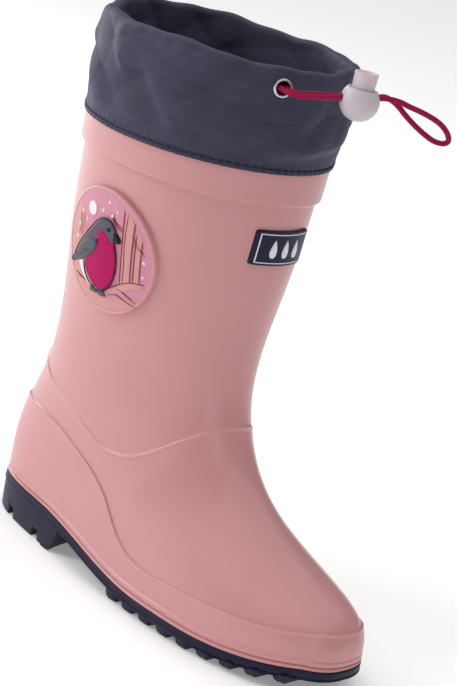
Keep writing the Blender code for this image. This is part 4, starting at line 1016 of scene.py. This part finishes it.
def make_cuff():
    """Cuff: one cloth whose profile, offset against height, runs from the outer hem up over the channel
    and down inside to the inner hem, carried round the shaft and pushed out or in by the folds."""
    angle = np.linspace(0, TAU, 420, endpoint=False)
    profile = rounded(((2.75, CUFF_HEM), (2.75, CUFF_HEM + 2.4), (2.8, 215), (2.8, 234), (2.9, CHANNEL_Z),
                       (2.9, CUFF_TOP), (-2.1, CUFF_TOP), (-2.1, CHANNEL_Z), (-2.4, 234), (-3.25, 215),
                       (-3.3, 205), (-3.3, CUFF_INNER_HEM)), 2.4, 7)
    steps = np.concatenate(([0], np.cumsum(np.linalg.norm(np.diff(profile, axis=0), axis=1))))
    run = np.linspace(0, steps[-1], 112)
    out = np.interp(run, steps, profile[:, 0])[:, None]
    height = np.interp(run, steps, profile[:, 1])[:, None]
    outer = smooth_steps((steps[-1] * 0.47 - run) / 6)[:, None]
    relief = fold_relief(angle[None], height)
    inside = fold_relief(angle[None] + 2.1, height - 2) * smooth_steps((height - 214) / 10) * 0.7
    stitch_line = np.exp(-((height - CUFF_HEM - 1.9) / 0.5) ** 2) * outer
    pucker = 0.2 * np.sin(angle * 92) * np.exp(-((height - CUFF_HEM - 1.9) / 2.2) ** 2) * outer
    beside = np.exp(-((np.degrees(angle) - 206) / 6) ** 2)[None]
    near_eyelet = beside * np.exp(-((height - CHANNEL_Z) / 6) ** 2)
    move = outer * relief * (1 - near_eyelet) - (1 - outer) * inside - 0.4 * stitch_line + pucker
    rim = smooth_steps((height - 236) / 14)
    wave = 0.7 * np.sin(3 * angle + 0.6) + 0.5 * np.sin(7 * angle + 2) + 0.3 * np.sin(16 * angle)
    grid = face(height + 0 * angle, angle[None], out + move)
    grid[..., 2] = height + rim * (wave - 0.6) - hem_drop(angle) * outer * smooth_steps((236 - height) / 29)
    centre = (grid[:-1] + grid[1:]) / 2
    spot = EYELET_SEAT + NORMAL * 2.4
    away = centre - spot
    level = away @ NORMAL
    radial = np.linalg.norm(away - level[..., None] * NORMAL, axis=-1)
    keep = ~((radial < 3.4) & (np.abs(level) < 2.0))
    around = np.linspace(0, 335, len(angle) + 1)
    uv = np.stack(np.meshgrid(around, run), -1)
    cuff = loft("nylon_cuff", grid, NYLON, "open", uv=uv, keep=keep, sharp=60)
    wall = cuff.modifiers.new("cloth", "SOLIDIFY")
    wall.thickness, wall.offset = CLOTH * MM, 0
    stands_for(cuff, "boot", "cuff_nylon", "cuff_fabric")
    make_stitches()


def make_stitches():
    """Row of lockstitches above the hem: small beads, long along the hem, sunk halfway into the cloth."""
    count = 92
    angle = (np.arange(count) + 0.5) * TAU / count
    middle = face(SHAFT_HEIGHT, angle, 2.98) * (1, 1, 0) + UP * (CUFF_HEM + 1.9 - hem_drop(angle)[:, None])
    along = face(SHAFT_HEIGHT, angle + 0.01, 2.98) - face(SHAFT_HEIGHT, angle - 0.01, 2.98)
    along *= (1, 1, 0)
    along /= np.linalg.norm(along, axis=1, keepdims=True)
    out = np.cross(UP, along)
    run = np.array((-1.4, -1.2, 0, 1.2, 1.4))
    thick = np.array((0.1, 0.34, 0.42, 0.34, 0.1))
    turn = np.linspace(0, TAU, 6, endpoint=False)
    grids = [middle[k] + along[k] * run[:, None, None] + thick[:, None, None]
             * (np.cos(turn)[None, :, None] * out[k] + np.sin(turn)[None, :, None] * UP) for k in range(count)]
    return stands_for(loft("hem_stitches", grids, THREAD), "boot", "cuff_nylon")


def make_eyelet():
    """Eyelet: a barrel whose end is rolled over into a rounded flange on the cloth."""
    bore = EYELET_BORE / 2
    flange = EYELET_FLANGE / 2
    seat = 2.85
    roll = np.linspace(0, math.pi, 14)
    middle, half = (bore + flange) / 2, (flange - bore) / 2
    profile = np.concatenate((
        ((flange - 0.15, seat - 0.2),),
        np.stack((middle + half * np.cos(roll), seat + 0.15 + 0.75 * np.sin(roll) ** 0.8), 1),
        ((bore, seat - 2.2), (bore + 0.45, seat - 2.2), (bore + 0.45, seat - 0.2))))
    turn = np.stack((TANGENT, np.cross(NORMAL, TANGENT), NORMAL), 1)
    grid = turned(profile, 64, EYELET_SEAT, turn)
    eyelet = loft("rolled_eyelet", grid, NICKEL, "joined")
    return stands_for(eyelet, "boot", "plated_brass", "eyelet")


make_cuff()
make_eyelet()


# ----------------------------------------------------------------------------------------- front badge

def rounded_plate(half_wide, half_tall, fullness, rows):
    """Half outline of a rounded rectangle along u: v reaches a superellipse's height either way."""
    u = -np.cos(np.linspace(0, math.pi, rows)) * half_wide
    v = half_tall * np.maximum(1 - np.abs(u / half_wide) ** fullness, 1e-6) ** (1 / fullness)
    return u, -v, v


def on_front(u, v, out):
    return front_face(u, BADGE_Z + v, out)


def make_badge():
    """Badge: a rounded plate with a soft edge, a raised frame line and an emblem of three raindrops."""
    wide, tall = BADGE_HALF
    slab = pad(on_front, *rounded_plate(wide, tall, 22, 72), 0.1, 1.75, 0.5, 19)
    base = loft("badge_plate", slab, BADGE_NAVY)
    stands_for(base, "boot", "badge_navy", "badge_base")
    turn = np.linspace(0, TAU, 160, endpoint=False)
    u = np.clip(math.sqrt(2) * np.cos(turn), -1, 1) * (wide - 1.5)
    v = np.clip(math.sqrt(2) * np.sin(turn), -1, 1) * (tall - 1.5)
    section = np.array(((0.3, 0), (0.22, 0.22), (0, 0.3), (-0.22, 0.22), (-0.3, 0), (0, -0.3)))
    rows = [on_front(u * (1 + inset / wide), v * (1 + inset / tall), 1.8 + rise) for inset, rise in section]
    line = loft("badge_line", np.array(rows), BADGE_WHITE, "joined")
    stands_for(line, "boot", "badge_white", "badge_frame")
    for name, middle in (("right", -7.0), ("centre", 0.0), ("left", 7.0)):
        t = np.linspace(0.04, math.pi - 0.04, 30)
        half = 2.4 * np.sin(t) * np.cos(t / 2) ** 1.2

        def upright(rise, side, out, middle=middle):
            return on_front(middle + side, rise, out)
        shape = pad(upright, -4.2 * np.cos(t), -half, half, 1.7, 0.75, 0.5)
        drop = loft(f"raindrop_{name}", shape, BADGE_WHITE)
        stands_for(drop, "boot", "badge_white", f"badge_drop_{name}")


make_badge()


# ------------------------------------------------------------------------------------------- calf patch

def on_patch(u, v, out):
    """Point on the calf patch: u towards the toe and v up from its middle, out from the calf."""
    return side_face(PATCH_X + u, PATCH_Z + v, out)


def make_disc():
    """Disc: rings of a turned profile laid on the calf, with a raised rounded rim."""
    rise = PATCH_TOP
    rim = PATCH_RADIUS
    ground = ((rim - 1.3, rise - 0.8), (rim - 1.3, rise), (22, rise), (17, rise), (12, rise), (7, rise),
              (3, rise), (0.5, rise), (0.5, rise - 0.8), (8, rise - 0.8), (18, rise - 0.8))
    border = ((rim, -0.3), (rim, 1.6), (rim - 0.12, 2.2), (rim - 0.4, 2.5), (rim - 0.8, 2.6),
              (rim - 1.2, 2.5), (rim - 1.5, 2.25), (rim - 1.6, 1.9), (rim - 1.6, -0.3))
    turn = np.linspace(0, TAU, 120, endpoint=False)
    for name, profile, finish in (("patch_ground", ground, LILAC), ("patch_border", border, PINK)):
        radius, out = np.array(profile).T[:, :, None]
        grid = on_patch(radius * np.cos(turn), radius * np.sin(turn), out + 0 * turn)
        disc = loft(name, grid, finish, "joined")
        stands_for(disc, "boot", "patch_ground", "patch_disc")


def inlay(name, spans, thick, finish, slot, *nodes, edge=0.45):
    """Raised inlay: spans (u, lowest v, highest v) are read as smooth curves of one parameter, whose
    steps gather at both ends."""
    spans = np.array(spans, float)
    t = (1 - np.cos(np.linspace(0, math.pi, 56))) / 2 * (len(spans) - 1)
    u, low, high = natural_spline(np.arange(len(spans)), spans, t).T
    grid = pad(on_patch, u, low, np.maximum(high, low + 0.1), PATCH_TOP, thick, edge)
    return stands_for(loft(name, grid, finish), "boot", slot, *nodes)


def ribs(name, lines, width, finish, slot, rise=0.12):
    """Fine moulded lines: a round profile carried along smooth curves through (u, v) points."""
    grids = []
    for line in lines:
        line = np.array(line, float)
        t = np.linspace(0, len(line) - 1, 10 * len(line))
        u, v = natural_spline(np.arange(len(line)), line, t).T
        taper = np.sqrt(np.clip(np.minimum(t - t[0], t[-1] - t) / 0.25, 0.05, 1))
        grids.append(carried(on_patch(u, v, PATCH_TOP + rise), width / 2 * taper, 6))
    return stands_for(loft(name, grids, finish), "boot", slot)


def make_scene_on_patch():
    """A songbird on a branch in front of two trunks, under a moon, with snow."""
    inlay("moon", ((-12.6, 15.9, 17.1), (-12.0, 14.4, 18.6), (-9.6, 13.2, 19.8), (-7.2, 14.4, 18.6),
                   (-6.6, 15.9, 17.1)), 0.7, SNOW_WHITE, "patch_white", "patch_moon")
    inlay("trunk_near", ((11.4, -12.6, 21.2), (12.4, -12.0, 21.4), (14.4, -11.2, 20.8), (16.4, -10.4, 18.6)),
          0.2, BARK_TAN, "patch_bark", "patch_tree_near")
    inlay("trunk_far", ((18.4, -9.4, 16.4), (19.6, -8.9, 15.4), (21.2, -8.2, 13.4)),
          0.2, BARK_TAN, "patch_bark", "patch_tree_far")
    inlay("far_slope", ((-26.2, -6.0, 3.0), (-23.4, -12.6, 11.6), (-19.4, -18.0, 16.0), (-15.6, -19.0, 11.0),
                        (-12.0, -19.0, 0.0)), 0.12, BARK_TAN, "patch_ground")
    inlay("snow_bank", ((-20.4, -18.2, -16.8), (-14.0, -22.8, -19.4), (-7.0, -25.6, -20.8),
                        (0.0, -26.4, -21.0), (8.0, -25.2, -20.4), (15.0, -21.6, -18.0),
                        (20.4, -16.8, -15.2)), 0.12, BARK_TAN, "patch_ground", "patch_snow_bank")
    inlay("branch", ((-17.4, -18.6, -17.6), (-10.0, -20.2, -18.2), (-3.0, -20.9, -18.4), (5.0, -19.4, -16.0),
                     (11.0, -16.2, -12.0), (17.0, -12.6, -9.0), (23.4, -9.6, -7.9)),
          0.3, BARK_TAN, "patch_bark", "patch_branch")
    inlay("branch_fork", ((9.0, -15.6, -14.4), (13.0, -17.4, -15.4),
                          (18.0, -19.0, -17.4), (20.4, -18.9, -18.3)),
          0.25, BARK_TAN, "patch_bark")
    inlay("tail", ((-25.2, -13.4, -11.6), (-22.4, -13.0, -9.6), (-18.8, -10.6, -6.8), (-15.6, -8.0, -4.0)),
          0.65, BLACK, "patch_charcoal")
    inlay("belly", ((-18.0, -9.6, -7.4), (-15.4, -13.4, -4.6), (-12.4, -16.4, -3.0), (-9.0, -18.4, -4.0),
                    (-5.0, -19.2, -8.0), (-2.0, -18.8, -16.0)), 0.75, SNOW_WHITE, "patch_white",
          "patch_bird_belly")
    inlay("breast", ((-12.2, -9.6, -4.6), (-10.6, -13.4, -1.4), (-6.8, -17.2, 2.8), (-1.6, -18.7, 6.2),
                     (3.6, -17.0, 8.0), (7.2, -12.4, 5.6), (8.9, -6.6, -1.4)), 1.0, MAGENTA, "patch_magenta",
          "patch_bird_breast", edge=1.1)
    inlay("back", ((-20.6, -11.0, -9.2), (-17.4, -9.6, -3.6), (-13.0, -6.8, 2.2), (-8.6, -2.6, 7.4),
                   (-5.2, 1.6, 11.4), (-1.8, 4.6, 14.2), (1.8, 5.6, 15.2), (5.2, 5.4, 14.0),
                   (7.6, 6.8, 11.2)),
          1.25, CHARCOAL, "patch_charcoal", "patch_bird_back", edge=0.9)
    inlay("wing", ((-21.6, -11.8, -10.6), (-17.6, -10.8, -5.2), (-12.6, -8.6, 0.4), (-8.0, -5.2, 3.6),
                   (-4.6, -1.6, 3.6), (-3.2, 0.4, 2.2)), 1.7, CHARCOAL, "patch_charcoal", edge=0.8)
    inlay("cheek", ((-4.0, 5.4, 6.8), (-2.2, 4.0, 9.0), (0.6, 3.6, 9.4), (3.4, 4.4, 7.8), (5.0, 5.4, 6.6)),
          1.5, MAGENTA, "patch_magenta", edge=0.7)
    inlay("beak", ((6.2, 6.2, 11.2), (7.8, 6.0, 10.6), (9.3, 6.2, 9.4), (10.3, 6.8, 8.2)), 1.5, BLACK,
          "patch_charcoal", "patch_bird_beak", edge=0.8)
    inlay("eye", ((2.4, 10.6, 11.0), (2.8, 9.9, 11.7), (3.6, 9.6, 12.0), (4.4, 9.9, 11.7), (4.8, 10.6, 11.0)),
          1.75, BLACK, "patch_charcoal", edge=0.5)
    for name, at in (("back", -4.6), ("front", 0.8)):
        inlay(f"foot_{name}", ((at - 2.2, -20.8, -19.4), (at - 0.8, -21.2, -17.6), (at + 1.0, -21.0, -17.4),
                               (at + 2.4, -20.6, -19.4)), 1.1, CHARCOAL, "patch_charcoal", edge=0.5)
    contours = (
        ((-20.9, -9.4), (-17.7, -3.4), (-13.3, 2.4), (-8.9, 7.6), (-5.4, 11.7), (-1.9, 14.5), (1.8, 15.5),
         (5.4, 14.2), (7.9, 11.2)),
        ((-12.5, -8.0), (-10.8, -13.7), (-6.9, -17.5), (-1.6, -19.0), (3.8, -17.3), (7.5, -12.5), (9.2, -6.0),
         (8.9, 0.0), (7.6, 5.4)),
        ((-21.4, -11.6), (-16.6, -9.6), (-12.4, -6.4), (-8.0, -2.6), (-4.6, 2.4), (-1.6, 4.4), (3.0, 4.6)),
    )
    ribs("bird_outlines", contours, 0.6, BLACK, "patch_charcoal", 1.15)
    outlines = (
        ((11.2, -12.0), (11.3, 0.0), (11.0, 12.0), (10.6, 22.6)),
        ((12.7, -11.6), (12.9, -2.0), (12.5, 8.0), (12.8, 21.4)),
        ((16.7, -9.8), (16.6, 2.0), (16.8, 12.0), (17.0, 18.6)),
        ((18.2, -8.8), (18.2, 2.0), (18.4, 14.0)),
        ((21.5, -7.6), (21.4, 2.0), (21.6, 11.6)),
        ((-17.6, -17.6), (-10.0, -18.0), (-6.0, -18.2)),
        ((-19.6, -16.4), (-14.0, -17.4), (-8.0, -17.8)),
        ((4.6, -15.8), (11.0, -11.9), (17.0, -8.9), (24.2, -7.6)),
        ((4.0, -19.6), (8.6, -17.4), (13.0, -18.0), (20.8, -19.4)),
        ((9.4, -14.4), (13.6, -14.9), (20.2, -17.6)),
    )
    ribs("moulded_outlines", outlines, 0.4, LINE_RED, "patch_bark", 0.22)
    twigs = [((10.8, 12.0 + k), (6.4, 14.2 + 0.7 * k), (2.4 + k, 18.4 + 0.2 * k)) for k in range(3)]
    twigs += [((17.2, 12.0 - 1.4 * k), (19.6, 9.0 - 0.7 * k), (23.2 - 0.6 * k, 5.6 + 0.4 * k))
              for k in range(3)]
    twigs += [((-19.6 + 1.6 * k, 12.0), (-18.6 + 1.4 * k, 6.0), (-19.4 + 1.5 * k, 1.0)) for k in range(3)]
    ribs("needle_lines", twigs, 0.34, LINE_RED, "patch_bark", 0.08)
    feathers = [((-19.0 + 2.6 * k, -9.2 + 2.3 * k), (-15.4 + 2.2 * k, -7.2 + 1.9 * k),
                 (-12.2 + 2.4 * k, -6.0 + 1.5 * k)) for k in range(3)]
    ribs("feather_lines", feathers, 0.42, BLACK, "patch_charcoal", 1.68)


def make_snow():
    """Snowflakes: small domes, each where its CAD dot is."""
    t = np.linspace(0, math.pi / 2, 5)
    turn = np.linspace(0, TAU, 14, endpoint=False)
    for number in range(1, 11):
        low, high = node_box(f"patch_snow_{number}")
        u, v = (low[0] + high[0]) / 2 - PATCH_X, (low[2] + high[2]) / 2 - PATCH_Z
        size = 0.62 + 0.16 * (number % 3)
        radius = (size * np.cos(t) + 0.02)[:, None]
        dome = on_patch(u + radius * np.cos(turn), v + radius * np.sin(turn),
                        PATCH_TOP - 0.05 + 0.55 * np.sin(t)[:, None] + 0 * turn)
        flake = loft(f"snowflake_{number}", dome, SNOW_WHITE)
        stands_for(flake, "boot", "patch_white", f"patch_snow_{number}")


make_disc()
make_scene_on_patch()
make_snow()


# --------------------------------------------------------------------------------- CAD pieces that stay

for node_name, finish in (("insole", FOAM), ("eyelet_washer", NICKEL)):
    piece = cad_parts[node_name]
    piece.data.materials.clear()
    piece.data.materials.append(finish)
